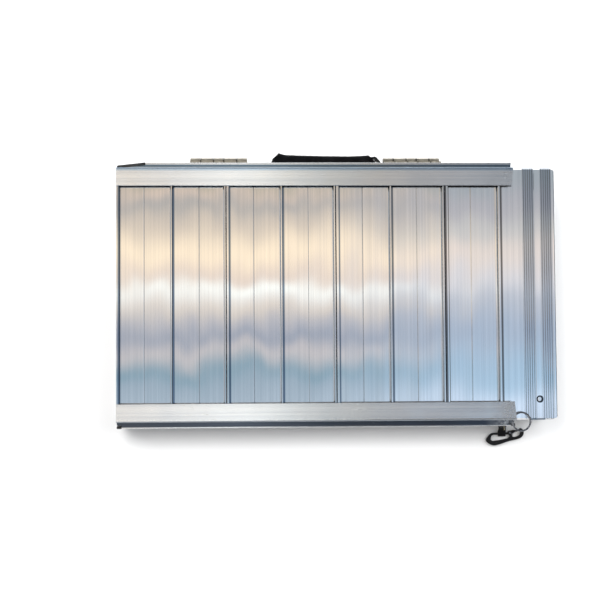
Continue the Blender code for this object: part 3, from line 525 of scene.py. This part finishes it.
def rail_painted_shade(recipe, y, z, tint):
    """Paints shade on the step outside the web, and reflections on the rolled corner and the hinge side's
    flange edge; also gives the corner's mask.
    """
    from_middle = recipe.distance(y, RAMP_Y)
    from_seam = recipe.distance(z, SEAM_Z)
    hinge_side = recipe.level(y, RAMP_Y - 0.01, RAMP_Y + 0.01)
    front_side = recipe.math("SUBTRACT", 1.0, hinge_side)
    below_top = recipe.level(from_seam, *STEP_DEPTH, 1.0, 0.0)
    near_top = recipe.level(from_seam, *FLANGE_DEPTH)
    for step, shade, on_side in ((FRONT_STEP, FRONT_SHADE, front_side),
                                 (HINGE_STEP, HINGE_SHADE, hinge_side)):
        in_step = recipe.product(recipe.band(from_middle, *step, 0.0006), below_top, on_side)
        tint = recipe.blend(recipe.product(in_step, 0.94), tint, shade)
    # painted reflections: grey on the rolled corner, blue on the hinge side's flange edge
    roll = recipe.product(recipe.band(from_middle, *WEB_ROLL, 0.0008), near_top)
    tint = recipe.blend(recipe.product(roll, 0.85), tint, ROLL_REFLECTION)
    cool = recipe.product(recipe.level(from_middle, *COOL_EDGE), near_top, hinge_side)
    return recipe.blend(recipe.product(cool, 0.85), tint, COOL_REFLECTION), roll


def rail_aluminium():
    recipe = Recipe("rail_aluminium").set(metallic=1.0, anisotropic=0.8)
    fine = recipe.streaks((3.0, 1400, 1400), 3.0, 0.6)
    broad = recipe.streaks((1.5, 240, 240), 2.0, 0.5)
    scuff = recipe.streaks((60, 420, 420), 2.0, 0.7, (0, 0, 0.25))
    cloud = recipe.noise(16.0, 4.0, 0.6)
    blotch = recipe.noise(150.0, 5.0, 0.7)
    x, y, z = recipe.split(recipe.coords)
    marks = recipe.product(recipe.level(scuff, 0.66, 0.74), recipe.level(cloud, 0.52, 0.64))
    tint = recipe.blend(recipe.level(broad, 0.35, 0.65), DULL_RAIL, BRIGHT_RAIL)
    tint = recipe.blend(recipe.level(fine, 0.5, 0.7, 0.0, 0.4), tint, LINED_RAIL)
    tint = recipe.blend(marks, tint, BARE_SCUFF)
    tint, roll = rail_painted_shade(recipe, y, z, tint)
    rubbed = recipe.product(recipe.level(x, 0.205, 0.232), recipe.level(y, RAMP_Y - 0.12, RAMP_Y - 0.13),
                            recipe.level(blotch, 0.40, 0.62, 0.15, 0.8))
    tint = recipe.blend(rubbed, tint, RUBBED_END)
    marks = recipe.math("MAXIMUM", marks, rubbed)
    rough = recipe.math("ADD", recipe.level(cloud, 0.35, 0.7, 0.17, 0.25), recipe.level(marks, 0, 1, 0, 0.14))
    rough = recipe.math("ADD", rough, recipe.product(roll, 0.30))
    lines = recipe.bump(broad, 0.3, 0.00005)
    lines = recipe.bump(fine, 0.35, 0.00001, lines)
    lines = recipe.bump(marks, 0.5, 0.00008, lines)
    recipe.feed(colour=tint, roughness=rough, normal=lines).grain((0, 1, 0))
    return recipe.material


RAIL_NODES = [f"{half}_{part}_rail" for half in HALVES for part in ("hinge", "outer")]
print("rails painted:", paint(RAIL_NODES, rail_aluminium()))

# %% [markdown]
# ## Broken edges
# No extruded or pressed edge is perfectly sharp: a fraction of a millimetre of radius catches a thin line of
# light. The CAD meshes are loose triangles, so a Weld joins their corners first and a Bevel then rounds only
# the edges that really turn. Both are live modifiers, because a CAD mesh itself is never changed.

# %% Rounded edges on the metal
WELD_DISTANCE = 0.00001


def break_edges(names, width, segments=2, angle=35):
    """Welds and bevels CAD pieces; only edges that turn by more than the angle are rounded."""
    for name in names:
        piece = NODES[name]
        weld = piece.modifiers.new("weld", "WELD")
        weld.merge_threshold = WELD_DISTANCE
        bevel = piece.modifiers.new("broken_edges", "BEVEL")
        bevel.width = width
        bevel.segments = segments
        bevel.limit_method = "ANGLE"
        bevel.angle_limit = math.radians(angle)
        bevel.harden_normals = False
        bevel.use_clamp_overlap = True
    return len(names)


print("edges broken on", break_edges(RAIL_NODES + DECK_NODES, 0.00025), "extrusions")

# %% [markdown]
# ## Hinges, caps, hook and ring finishes
# The butt hinges are steel with a dull yellow-grey zinc plate, blotched where the plating ran, and shade is
# painted into the gaps between their knuckles. The curb ends are matt moulded rubber. The snap hook is coated
# black and worn to bare metal in spots.

# %% Small metal and rubber finishes
KNUCKLES = (0.0145, 0.0180, 0.0145, 0.0180, 0.0145)
# painted shade for the gaps between the knuckles
KNUCKLE_GAP_SHADE = (0.035, 0.030, 0.025)


def knuckle_joints():
    """Where the knuckles of both hinges meet, along the ramp."""
    spots = []
    for side_name in ("left", "right"):
        low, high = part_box(f"hinge_{side_name}_lower_leaf")
        first = (low.x + high.x - sum(KNUCKLES)) / 2
        spots += [first + sum(KNUCKLES[:i]) for i in range(1, len(KNUCKLES))]
    return spots


KNUCKLE_JOINTS = knuckle_joints()


def plated_steel():
    recipe = Recipe("plated_steel").set(metallic=1.0)
    blotch = recipe.noise(140.0, 4.0, 0.6)
    speck = recipe.noise(900.0, 2.0, 0.5)
    tint = recipe.blend(recipe.level(blotch, 0.35, 0.65), (0.40, 0.36, 0.29), (0.64, 0.59, 0.48))
    along = recipe.split(recipe.coords)[0]
    # painted shade: near-black lines where the knuckles meet, in the gaps between them
    joints = 0.0
    for spot in KNUCKLE_JOINTS:
        line = recipe.level(recipe.distance(along, spot), 0.0005, 0.0013, 0.85, 0.0)
        joints = recipe.math("MAXIMUM", line, joints)
    tint = recipe.blend(joints, tint, KNUCKLE_GAP_SHADE)
    rough = recipe.level(blotch, 0.3, 0.7, 0.30, 0.52)
    recipe.feed(colour=tint, roughness=rough, normal=recipe.bump(speck, 0.25, 0.00003))
    return recipe.material


def black_rubber():
    recipe = Recipe("black_rubber").set(specular=0.4, ior=1.5)
    grainy = recipe.noise(1600.0, 3.0, 0.6)
    dust = recipe.noise(60.0, 4.0, 0.6)
    tint = recipe.blend(recipe.level(dust, 0.45, 0.75), (0.020, 0.020, 0.021), (0.055, 0.054, 0.052))
    recipe.feed(colour=tint, roughness=recipe.level(dust, 0.3, 0.7, 0.55, 0.75),
                normal=recipe.bump(grainy, 0.4, 0.00006))
    return recipe.material


def black_coat():
    recipe = Recipe("black_coat").set(specular=0.3)
    orange_peel = recipe.noise(700.0, 2.0, 0.5)
    groove_shade_strength = recipe.noise(240.0, 5.0, 0.65)
    bare = recipe.level(groove_shade_strength, 0.66, 0.70)
    recipe.feed(colour=recipe.blend(bare, (0.005, 0.005, 0.006), (0.26, 0.24, 0.20)),
                metallic=bare,
                roughness=recipe.level(groove_shade_strength, 0.3, 0.7, 0.28, 0.45),
                normal=recipe.bump(orange_peel, 0.3, 0.00005))
    return recipe.material


def clouded_metal(name, scale, detail, colours, rough, dents=None, contrast=None):
    """Bare metal whose colour, roughness and, where dents are given, surface follow one soft noise."""
    recipe = Recipe(name).set(metallic=1.0)
    cloud = recipe.noise(scale, detail, 0.6 if dents else 0.5)
    mix = recipe.level(cloud, *contrast) if contrast else cloud
    recipe.feed(colour=recipe.blend(mix, *colours), roughness=recipe.level(cloud, 0.3, 0.7, *rough))
    if dents:
        recipe.feed(normal=recipe.bump(cloud, *dents))
    return recipe.material


WIRE = clouded_metal("dark_wire", 420.0, 3.0, ((0.16, 0.17, 0.19), (0.42, 0.43, 0.46)), (0.22, 0.38),
                     (0.2, 0.00003), (0.35, 0.65))
SPRING_STEEL = clouded_metal("spring_steel", 800.0, 2.0, ((0.42, 0.42, 0.43), (0.62, 0.62, 0.64)),
                             (0.2, 0.35))
PLATED_NODES = [name for name in NODES if name.startswith("hinge_")]
LEAVES = [name for name in PLATED_NODES if name.endswith("_leaf")]
CAP_NODES = [name for name in NODES if name.endswith("_cap")]
COAT_NODES = [name for name in NODES if name.startswith("handle_") and name.endswith(("_washer", "_rivet"))]
COAT_NODES += ["closure_strap_rivet", "snap_hook_body", "snap_hook_gate"]
paint(PLATED_NODES, plated_steel())
paint(CAP_NODES, black_rubber())
paint(COAT_NODES, black_coat())
paint(["snap_hook_gate_pin"], WIRE)
paint(["snap_hook_spring"], SPRING_STEEL)
break_edges(CAP_NODES, 0.0006, 3)
break_edges(LEAVES, 0.0002, 2, 50)
break_edges(["snap_hook_body"], 0.0010, 4, 40)
break_edges(["snap_hook_gate"], 0.0004, 3, 40)
print("plated", len(PLATED_NODES), "rubber", len(CAP_NODES), "coated", len(COAT_NODES))

# %% [markdown]
# ## New pieces
# A piece that isn't in the CAD frame is drawn straight at its place, so its object sits at the origin.

# %% Making a new piece
def new_piece(name, bm, material, smooth_angle=40):
    """A finished mesh object at the origin, its faces outwards."""
    bmesh.ops.recalc_face_normals(bm, faces=bm.faces)
    mesh = bpy.data.meshes.new(name)
    bm.to_mesh(mesh)
    bm.free()
    mesh.shade_smooth()
    mesh.set_sharp_from_angle(angle=math.radians(smooth_angle))
    mesh.materials.append(material)
    piece = bpy.data.objects.new(name, mesh)
    scene.collection.objects.link(piece)
    return piece


def skin_between(bm, first, second):
    """Faces between two rings of points that have the same count; gives them in order."""
    count = len(first)
    return [bm.faces.new((first[k], first[(k + 1) % count], second[(k + 1) % count], second[k]))
            for k in range(count)]


def close_ends(bm, rings):
    """A face on the first and on the last ring."""
    bm.faces.new(list(reversed(rings[0])))
    bm.faces.new(rings[-1])


print("ready to make pieces")

# %% [markdown]
# ## Split ring
# A split ring is one length of wire wound two turns, each end lying on the other turn. A helix makes it: the
# wire climbs one wire's width over the full two turns. It takes its centre and size from the CAD ring.

# %% Two-turn split ring
RING_TURNS = 2
RING_STEPS = 72
WIRE_CLIMB = 0.00150
WIRE_HALF_WIDTH, WIRE_HALF_HEIGHT = 0.0012, 0.0007
WIRE_SIDES = 12
RING_SETBACK = 0.0013              # the wire's middle lies this far inside the CAD ring's outer edge
RING_START = math.radians(200)
RING_TILT, RING_YAW = math.radians(6), math.radians(-20)


def build_split_ring():
    low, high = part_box("split_ring")
    centre = (low + high) / 2
    radius = (high.y - low.y) / 2 - RING_SETBACK
    turn = Matrix.Rotation(RING_YAW, 3, "Z") @ Matrix.Rotation(RING_TILT, 3, "Y")
    bm = bmesh.new()
    rings = []
    total = RING_TURNS * RING_STEPS
    sides = [2 * math.pi * k / WIRE_SIDES for k in range(WIRE_SIDES)]
    for i in range(total + 1):
        angle = 2 * math.pi * i / RING_STEPS + RING_START
        climb = (i / total - 0.5) * WIRE_CLIMB
        row = []
        for a in sides:
            r = radius + WIRE_HALF_WIDTH * math.cos(a)
            spot = Vector((r * math.cos(angle), r * math.sin(angle), climb + WIRE_HALF_HEIGHT * math.sin(a)))
            row.append(bm.verts.new(centre + turn @ spot))
        rings.append(row)
    for first, second in zip(rings, rings[1:]):
        skin_between(bm, first, second)
    close_ends(bm, rings)
    return new_piece("split_ring_wire", bm, WIRE)


split_ring = build_split_ring()
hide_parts("split_ring")
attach(split_ring, "ring")
print("split ring faces:", len(split_ring.data.polygons))

# %% [markdown]
# ## Webbing
# The handle and the tether are woven polypropylene webbing: a band with rows of fine ribs along it, thick
# selvedge edges and a slight fuzz. The band is swept along its route with its own UV map, so the weave
# follows every bend: U runs along the band in metres and V across it.

# %% Woven webbing finish
BLACK_THREAD, DUSTY_THREAD = (0.0025, 0.0025, 0.003), (0.010, 0.010, 0.011)


def black_webbing():
    recipe = Recipe("black_webbing").set(specular=0.15, sheen=0.12, sheen_roughness=0.5)
    ribs = recipe.threads((900, 260), "Y", 0.6)
    picks = recipe.threads((420, 420), "DIAGONAL")
    fuzz = recipe.noise(2600.0, 3.0, 0.7)
    cloth = recipe.math("ADD", ribs, recipe.product(picks, 0.6))
    recipe.feed(colour=recipe.blend(recipe.level(fuzz, 0.3, 0.8), BLACK_THREAD, DUSTY_THREAD),
                roughness=recipe.level(fuzz, 0.3, 0.7, 0.7, 0.9),
                normal=recipe.bump(cloth, 0.6, 0.00018, recipe.bump(fuzz, 0.3, 0.00006)))
    return recipe.material


WEBBING = black_webbing()
print("webbing finish made")

# %% Sweeping a band along its route
def smooth_route(points, steps):
    """A Catmull-Rom curve through the points, ends included."""
    route = []
    for i in range(len(points) - 1):
        p0 = Vector(points[max(i - 1, 0)])
        p1, p2 = Vector(points[i]), Vector(points[i + 1])
        p3 = Vector(points[min(i + 2, len(points) - 1)])
        for step in range(steps):
            t = step / steps
            bend = (2 * p0 - 5 * p1 + 4 * p2 - p3) * t * t + (3 * p1 - p0 - 3 * p2 + p3) * t ** 3
            route.append(0.5 * (2 * p1 + (p2 - p0) * t + bend))
    route.append(Vector(points[-1]))
    return route


BAND_COLUMNS = 10
SELVEDGE_FROM, SELVEDGE_SWELL = 0.8, 1.25
FLAT_PART = 0.97                   # how much of the width lies between the rolled edges


def band_section(width, thickness):
    """The band's section with thick rolled edges: (across, through) pairs all round."""
    top = []
    for i in range(BAND_COLUMNS + 1):
        s = -1 + 2 * i / BAND_COLUMNS
        swell = SELVEDGE_SWELL if abs(s) > SELVEDGE_FROM else 1.0
        top.append((s * width / 2 * FLAT_PART, thickness / 2 * swell))
    bottom = [(a, -t) for a, t in reversed(top)]
    return top + [(width / 2, 0.0)] + bottom + [(-width / 2, 0.0)]


def sweep_band(name, route, across, width, thickness, material):
    """A band along the route; across is the unit vector of its width. U is metres along and V across."""
    bm = bmesh.new()
    weave = bm.loops.layers.uv.new("weave")
    section = band_section(width, thickness)
    rows, lengths = [], [0.0]
    for i, point in enumerate(route):
        along = (route[min(i + 1, len(route) - 1)] - route[max(i - 1, 0)]).normalized()
        through = across.cross(along).normalized()
        rows.append([bm.verts.new(point + across * a + through * t) for a, t in section])
        if i:
            lengths.append(lengths[-1] + (point - route[i - 1]).length)
    for i in range(len(rows) - 1):
        for k, face in enumerate(skin_between(bm, rows[i], rows[i + 1])):
            here, beside = section[k][0], section[(k + 1) % len(section)][0]
            back, front = lengths[i], lengths[i + 1]
            spots = ((back, here), (back, beside), (front, beside), (front, here))
            for loop, spot in zip(face.loops, spots):
                loop[weave].uv = spot
    close_ends(bm, rows)
    piece = new_piece(name, bm, material, 60)
    print(name, "length", round(lengths[-1] * 1000, 1), "mm")
    return piece


# %% [markdown]
# ## Carry handle
# The grip is a sleeve wrapped round a strap that is riveted to the curb at both ends. At the left the strap
# turns in a round loop and goes back under the grip; at the right it drops straight to its rivet. When the
# ramp is unfolded the two curbs close on the handle, so it is squashed against its own curb.

# %% Handle strap
web_low, web_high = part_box("handle_webbing")
grip_low, grip_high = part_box("handle_sleeve")
HANDLE_Z = (web_low.z + web_high.z) / 2
WEB_WIDTH = web_high.z - web_low.z
WEB_THICK = 0.0015
ANCHOR_STRETCH = 0.011             # how far the strap goes on past its left rivet
flat_y = CURB_FACE + 0.0011
lift_y = (grip_low.y + grip_high.y) / 2
loop_r = (lift_y - flat_y) / 2
left_x = web_low.x + loop_r + WEB_THICK / 2


def handle_route():
    """From the left rivet round the loop, through the grip and down to the right rivet."""
    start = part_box("handle_left_rivet")[0].x + ANCHOR_STRETCH
    points = [(start, flat_y), (left_x + 0.004, flat_y)]
    for degrees in (250, 215, 180, 145, 110):
        a = math.radians(degrees)
        points.append((left_x + loop_r * math.cos(a), flat_y + loop_r + loop_r * math.sin(a)))
    points += [(grip_low.x, lift_y + 0.0018), (grip_low.x + 0.03, lift_y), (grip_high.x - 0.03, lift_y)]
    points += [(grip_high.x, lift_y + 0.0002), (grip_high.x + 0.0045, lift_y - 0.0002)]
    points += [(grip_high.x + 0.0095, lift_y + 0.0004), (web_high.x - 0.0045, lift_y - 0.0022)]
    points += [(web_high.x - 0.0008, flat_y + 0.0030), (web_high.x - 0.0014, flat_y + 0.0006)]
    points += [(web_high.x - 0.0045, flat_y), (web_high.x - 0.0110, flat_y)]
    return smooth_route([(x, y, HANDLE_Z) for x, y in points], 5)


handle_strap = sweep_band("handle_strap", handle_route(), Vector((0, 0, 1)), WEB_WIDTH, WEB_THICK, WEBBING)
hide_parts("handle_webbing")
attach(handle_strap, "lower_half")
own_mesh(handle_strap)

# %% [markdown]
# The sleeve is a stuffed, stitched wrap, so it isn't a straight extrusion: it is fuller in the middle of each
# side, pinched along its seam, flared and cut at a slant at its ends, and wrinkled by the hand that carries
# it. It is built as rings of points along its length, whose size and lift follow smooth curves.

# %% Padded grip sleeve
GRIP_BACK = CURB_FACE + 0.0027
GRIP_RINGS = 72
GRIP_SIDES = 40
CORE_WIDTH, CORE_DEPTH = 0.88, 0.55        # the hollow inside, as parts of the outer size
SIDE_FLATNESS, FACE_FLATNESS = 0.55, 0.75  # lower is squarer
LEFT_FLARE, RIGHT_FLARE, FLARE_LENGTH = 0.10, 0.08, 0.05
LEFT_SLANT, RIGHT_SLANT, SLANT_LENGTH = 0.0078, 0.0105, 0.035
LONG_FOLDS, SHORT_FOLDS = 0.00011, 0.00007
SEAM_PINCH, SEAM_ANGLE = 0.0007, 1.9
KICK_LENGTH = 0.2
CROWN = ((0.0, 0.0036), (0.11, 0.0011), (0.35, 0.0002), (0.55, -0.0003), (0.80, -0.0006), (1.0, 0.0005))


def grip_finish():
    recipe = Recipe("grip_cloth").set(specular=0.12, sheen=0.15, sheen_roughness=0.45)
    cloth = recipe.math("MAXIMUM", recipe.threads((520, 520), "X"), recipe.threads((520, 520), "Y"))
    fuzz = recipe.noise(1900.0, 4.0, 0.7)
    lint = recipe.noise(90.0, 4.0, 0.7)
    recipe.feed(colour=recipe.blend(recipe.level(lint, 0.45, 0.8), BLACK_THREAD, (0.009, 0.009, 0.010)),
                roughness=recipe.level(fuzz, 0.3, 0.7, 0.75, 0.95),
                normal=recipe.bump(cloth, 0.5, 0.00014, recipe.bump(fuzz, 0.4, 0.00008)))
    return recipe.material


def crown_at(t):
    """How far the sleeve stands up at t along it: it kicks up where the strap turns over at the left."""
    for (t0, c0), (t1, c1) in zip(CROWN, CROWN[1:]):
        if t <= t1:
            u = (t - t0) / (t1 - t0)
            return c0 + (c1 - c0) * u * (2 - u if t1 < KICK_LENGTH else 1)
    return CROWN[-1][1]


def near_end(t, length):
    """1 at an end that is t away along the sleeve, falling to 0 over the length."""
    return math.exp(-((t / length) ** 2))


def slant_at(t, back):
    """How far a point slides along the sleeve: its ends are cut at a slant, longer towards the curb."""
    left = LEFT_SLANT * near_end(t, SLANT_LENGTH) * math.sin(math.pi / 2 * back)
    return RIGHT_SLANT * near_end(1 - t, SLANT_LENGTH) * back - left


def grip_ring(t, half_width, half_depth):
    """One ring of the sleeve at t along it (0 to 1): points as (across, through)."""
    flare = LEFT_FLARE * near_end(t, FLARE_LENGTH) + RIGHT_FLARE * near_end(1 - t, FLARE_LENGTH)
    points = []
    for k in range(GRIP_SIDES):
        a = 2 * math.pi * k / GRIP_SIDES
        c, s = math.cos(a), math.sin(a)
        across = math.copysign(abs(c) ** SIDE_FLATNESS, c) * half_width
        through = math.copysign(abs(s) ** FACE_FLATNESS, s) * half_depth * (1 + flare)
        fold = LONG_FOLDS * math.sin(46 * t + 3.0 * c) * math.sin(3 * a + 21 * t)
        fold += SHORT_FOLDS * math.sin(97 * t + 5.0 * s)
        seam = -SEAM_PINCH * math.exp(-((a - SEAM_ANGLE) / 0.10) ** 2)
        points.append((across, through + (fold + seam) * (1 if s >= 0 else -1)))
    return points


def build_grip():
    """The sleeve as an outer skin, an inner skin round the strap, and a rim at each end."""
    bm = bmesh.new()
    weave = bm.loops.layers.uv.new("weave")
    length = grip_high.x - grip_low.x
    half_width = (grip_high.z - grip_low.z) / 2
    half_depth = (grip_high.y - GRIP_BACK) / 2
    middle = (grip_high.y + GRIP_BACK) / 2
    outer, inner = [], []
    for i in range(GRIP_RINGS + 1):
        t = i / GRIP_RINGS
        outer.append([])
        inner.append([])
        for across, through in grip_ring(t, half_width, half_depth):
            back = max(0.0, min(1.0, 0.5 - 0.5 * through / half_depth))
            x = grip_low.x + length * t + slant_at(t, back)
            y = middle + crown_at(t) * (1 - back) ** 0.5
            outer[-1].append(bm.verts.new((x, y + through, HANDLE_Z + across)))
            inner[-1].append(bm.verts.new((x, y + through * CORE_DEPTH, HANDLE_Z + across * CORE_WIDTH)))
    for rows in (outer, inner):
        for first, second in zip(rows, rows[1:]):
            for face in skin_between(bm, first, second):
                for loop in face.loops:
                    loop[weave].uv = (loop.vert.co.x, loop.vert.co.z + loop.vert.co.y)
    for i in (0, GRIP_RINGS):
        skin_between(bm, outer[i], inner[i])
    return new_piece("grip_sleeve", bm, grip_finish(), 50)


grip = build_grip()
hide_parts("handle_sleeve")
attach(grip, "lower_half")
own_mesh(grip)
print("grip faces:", len(grip.data.polygons))

# %% [markdown]
# ## Closure tether
# A doubled band of narrow webbing is riveted to the lower curb, goes round the snap hook's eye and back, and
# is sewn with pale thread.

# %% Tether band
tether_low, tether_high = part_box("closure_strap")
TETHER_X = (tether_low.x + tether_high.x) / 2
TETHER_WIDTH = tether_high.x - tether_low.x
TETHER_THICK = 0.0011
TETHER_LEAN = 0.0055               # how far the band moves sideways on its way down
LEAN_FROM_Z, LEAN_DROP = 0.028, 0.018
LAYER_OFFSET = 0.00075             # from the doubled band's middle to the middle of each layer
EYE_OUT, EYE_Z = 0.0151, 0.0043
EYE_WRAP = 0.00325
RAIL_OUTER = RAMP_Y - (CURB_FACE - RAMP_Y)


def tether_lean(z):
    """How far the tether has moved sideways at height z."""
    return TETHER_LEAN * min(1.0, max(0.0, (LEAN_FROM_Z - z) / LEAN_DROP))


def tether_spine():
    """The middle of the doubled band, with its outward normal: (out, z, normal out, normal z)."""
    first = 0.00165
    spine = [(first, tether_high.z), (first, 0.030), (first, 0.023), (first + 0.0008, 0.0175)]
    spine += [(first + 0.0030, 0.0130), (first + 0.0064, 0.0093)]
    points = []
    for i, (d, z) in enumerate(spine):
        d0, z0 = spine[max(i - 1, 0)]
        d1, z1 = spine[min(i + 1, len(spine) - 1)]
        length = math.hypot(d1 - d0, z1 - z0)
        points.append((d, z, -(z1 - z0) / length, (d1 - d0) / length))
    return points


def beside_spine(stand, sideways=0.0):
    """Points at a distance from the band's middle, outwards or (below 0) inwards."""
    return [(TETHER_X + tether_lean(z) + sideways, RAIL_OUTER - d - nd * stand, z + nz * stand)
            for d, z, nd, nz in tether_spine()]


def tether_route():
    """Down the curb, out and round the eye's bar, and back up beside itself."""
    loop = []
    for k in range(9):
        a = math.radians(95 - 250 * k / 8)
        out, z = EYE_OUT + EYE_WRAP * math.cos(a), EYE_Z + EYE_WRAP * math.sin(a)
        loop.append((TETHER_X + tether_lean(z), RAIL_OUTER - out, z))
    return smooth_route(beside_spine(LAYER_OFFSET) + loop + beside_spine(-LAYER_OFFSET)[::-1], 4)


tether = sweep_band("tether_band", tether_route(), Vector((1, 0, 0)), TETHER_WIDTH, TETHER_THICK, WEBBING)
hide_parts("closure_strap")
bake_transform(tether)

# %% [markdown]
# ## Small repeated pieces
# Stitches and rivets repeat one small rounded shape along a line, which is what Geometry Nodes do well. Both
# trees put a ball on every point, scale it to its own length, width and height, make the copies real and give
# them their finish. The result is kept as a plain mesh.

# %% Trees that repeat a ball
def new_tree(name, sockets):
    """An empty geometry tree with named inputs: the tree, its inputs' identifiers and its input node."""
    tree = bpy.data.node_groups.new(name, "GeometryNodeTree")
    face = tree.interface
    for in_out in ("OUTPUT", "INPUT"):
        face.new_socket("Geometry", in_out=in_out, socket_type="NodeSocketGeometry")
    inputs = {}
    for socket, kind in (*sockets, ("Size", "Vector"), ("Finish", "Material")):
        made = face.new_socket(socket, in_out="INPUT", socket_type=f"NodeSocket{kind}")
        inputs[socket] = made.identifier
    return tree, inputs, tree.nodes.new("NodeGroupInput").outputs


def repeat_ball(tree, given, points, segments, rings, rotation=(0, 0, 0)):
    """Ends the tree: a ball of the given Size and Finish on every point."""
    wiring = Wiring(tree)
    ball = wiring.add("GeometryNodeMeshUVSphere", {"Segments": segments, "Rings": rings, "Radius": 1.0})
    placed = wiring.add("GeometryNodeInstanceOnPoints", {"Points": points, "Instance": ball,
                                                         "Scale": given["Size"], "Rotation": rotation})
    real = wiring.add("GeometryNodeRealizeInstances", {"Geometry": placed})
    finished = wiring.add("GeometryNodeSetMaterial", {"Geometry": real, "Material": given["Finish"]})
    wiring.add("NodeGroupOutput", {"Geometry": finished})


def bake_tree(name, tree, inputs, values, mesh=None):
    """Runs a tree on a mesh (or on nothing) and keeps the result as a plain mesh object."""
    carrier = bpy.data.objects.new(name + "_maker", mesh or bpy.data.meshes.new(name + "_maker"))
    scene.collection.objects.link(carrier)
    modifier = carrier.modifiers.new("nodes", "NODES")
    modifier.node_group = tree
    for key, value in values.items():
        modifier[inputs[key]] = value
    graph = bpy.context.evaluated_depsgraph_get()
    made = bpy.data.meshes.new_from_object(carrier.evaluated_get(graph), depsgraph=graph)
    bpy.data.objects.remove(carrier, do_unlink=True)
    made.name = name
    piece = bpy.data.objects.new(name, made)
    scene.collection.objects.link(piece)
    made.shade_smooth()
    return piece


print("ready to repeat")

# %% [markdown]
# ## Stitches
# The tether's two layers are sewn together with pale thread along the right edge.

# %% Stitches along the tether
STITCH_SPACING = 0.0021
STITCH_SIZE = (0.00098, 0.00062, 0.00030)
SEAM_SIDEWAYS = TETHER_WIDTH * 0.27
SEAM_STAND = LAYER_OFFSET + TETHER_THICK * 0.62


def stitch_tree():
    """Beads at even steps along a line of edges, each turned to lie along it."""
    tree, inputs, given = new_tree("stitches", [("Spacing", "Float")])
    wiring = Wiring(tree)
    line = wiring.add("GeometryNodeMeshToCurve", {"Mesh": given["Geometry"]})
    steps = wiring.add("GeometryNodeResampleCurve", {"Curve": line, "Length": given["Spacing"]},
                       mode="LENGTH")
    tangent = wiring.add("GeometryNodeInputTangent", {})
    aim = wiring.add("FunctionNodeAlignRotationToVector", {"Vector": tangent}, axis="X")
    repeat_ball(tree, given, steps, 10, 8, aim)
    return tree, inputs


def pale_thread():
    recipe = Recipe("pale_thread").set(roughness=0.75, sheen=0.3)
    twist = recipe.noise(3200.0)
    recipe.feed(colour=recipe.blend(twist, (0.60, 0.50, 0.32), (0.82, 0.72, 0.52)),
                normal=recipe.bump(twist, 0.4, 0.00005))
    return recipe.material


def seam_line():
    """The seam's line on the outer layer, near the band's right edge."""
    spots = smooth_route(beside_spine(SEAM_STAND, SEAM_SIDEWAYS), 6)
    mesh = bpy.data.meshes.new("seam_line")
    mesh.from_pydata(spots, [(i, i + 1) for i in range(len(spots) - 1)], [])
    return mesh


stitches = bake_tree("tether_stitches", *stitch_tree(),
                     {"Spacing": STITCH_SPACING, "Size": STITCH_SIZE, "Finish": pale_thread()}, seam_line())
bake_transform(stitches)
print("stitches:", len(stitches.data.polygons), "faces")

# %% [markdown]
# ## Rivets along the ledges
# The planks are riveted to both rails from the walking side, at a fixed pitch along both ledges.

# %% Rivet heads
RIVET_PITCH = 0.0755
RIVETS_IN_ROW = 7
FIRST_RIVET = 0.32                 # of a pitch from the ramp's left end
RIVET_RADIUS, RIVET_HEIGHT = 0.0032, 0.0011
LEDGE = 0.0215                     # the ledge's top, up from the half's underside
LEDGE_MIDDLE = 0.0175              # the rivets' row, in from the curb's face


def rivet_tree():
    """Domes on two parallel lines of points."""
    tree, inputs, given = new_tree("rivet_rows", [("First", "Vector"), ("Step", "Vector"), ("Count", "Int"),
                                                  ("Second Row", "Vector")])
    wiring = Wiring(tree)
    shifted = wiring.add("ShaderNodeVectorMath", {0: given["First"], 1: given["Second Row"]}, operation="ADD")
    join = tree.nodes.new("GeometryNodeJoinGeometry")
    for start in (given["First"], shifted):
        line = wiring.add("GeometryNodeMeshLine", {"Count": given["Count"], "Offset": given["Step"],
                                                   "Start Location": start}, mode="OFFSET")
        tree.links.new(line, join.inputs["Geometry"])
    repeat_ball(tree, given, join.outputs[0], 16, 10)
    return tree, inputs


RIVET_TREE, RIVET_INPUTS = rivet_tree()
RIVET_ALUMINIUM = clouded_metal("rivet_aluminium", 500.0, 3.0, ((0.62, 0.63, 0.65), (0.84, 0.84, 0.85)),
                                (0.25, 0.42), (0.3, 0.00004))
row_reach = CURB_FACE - RAMP_Y - LEDGE_MIDDLE
for half in HALVES:
    height = LEDGE if half == "lower" else RAMP_TOP - LEDGE
    rivets = bake_tree(f"{half}_deck_rivets", RIVET_TREE, RIVET_INPUTS, {
        "First": (LEFT_END + RIVET_PITCH * FIRST_RIVET, RAMP_Y - row_reach, height),
        "Step": (RIVET_PITCH, 0, 0), "Count": RIVETS_IN_ROW, "Second Row": (0, 2 * row_reach, 0),
        "Size": (RIVET_RADIUS, RIVET_RADIUS, RIVET_HEIGHT), "Finish": RIVET_ALUMINIUM})
    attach(rivets, f"{half}_half")
    print(rivets.name, len(rivets.data.polygons), "faces")
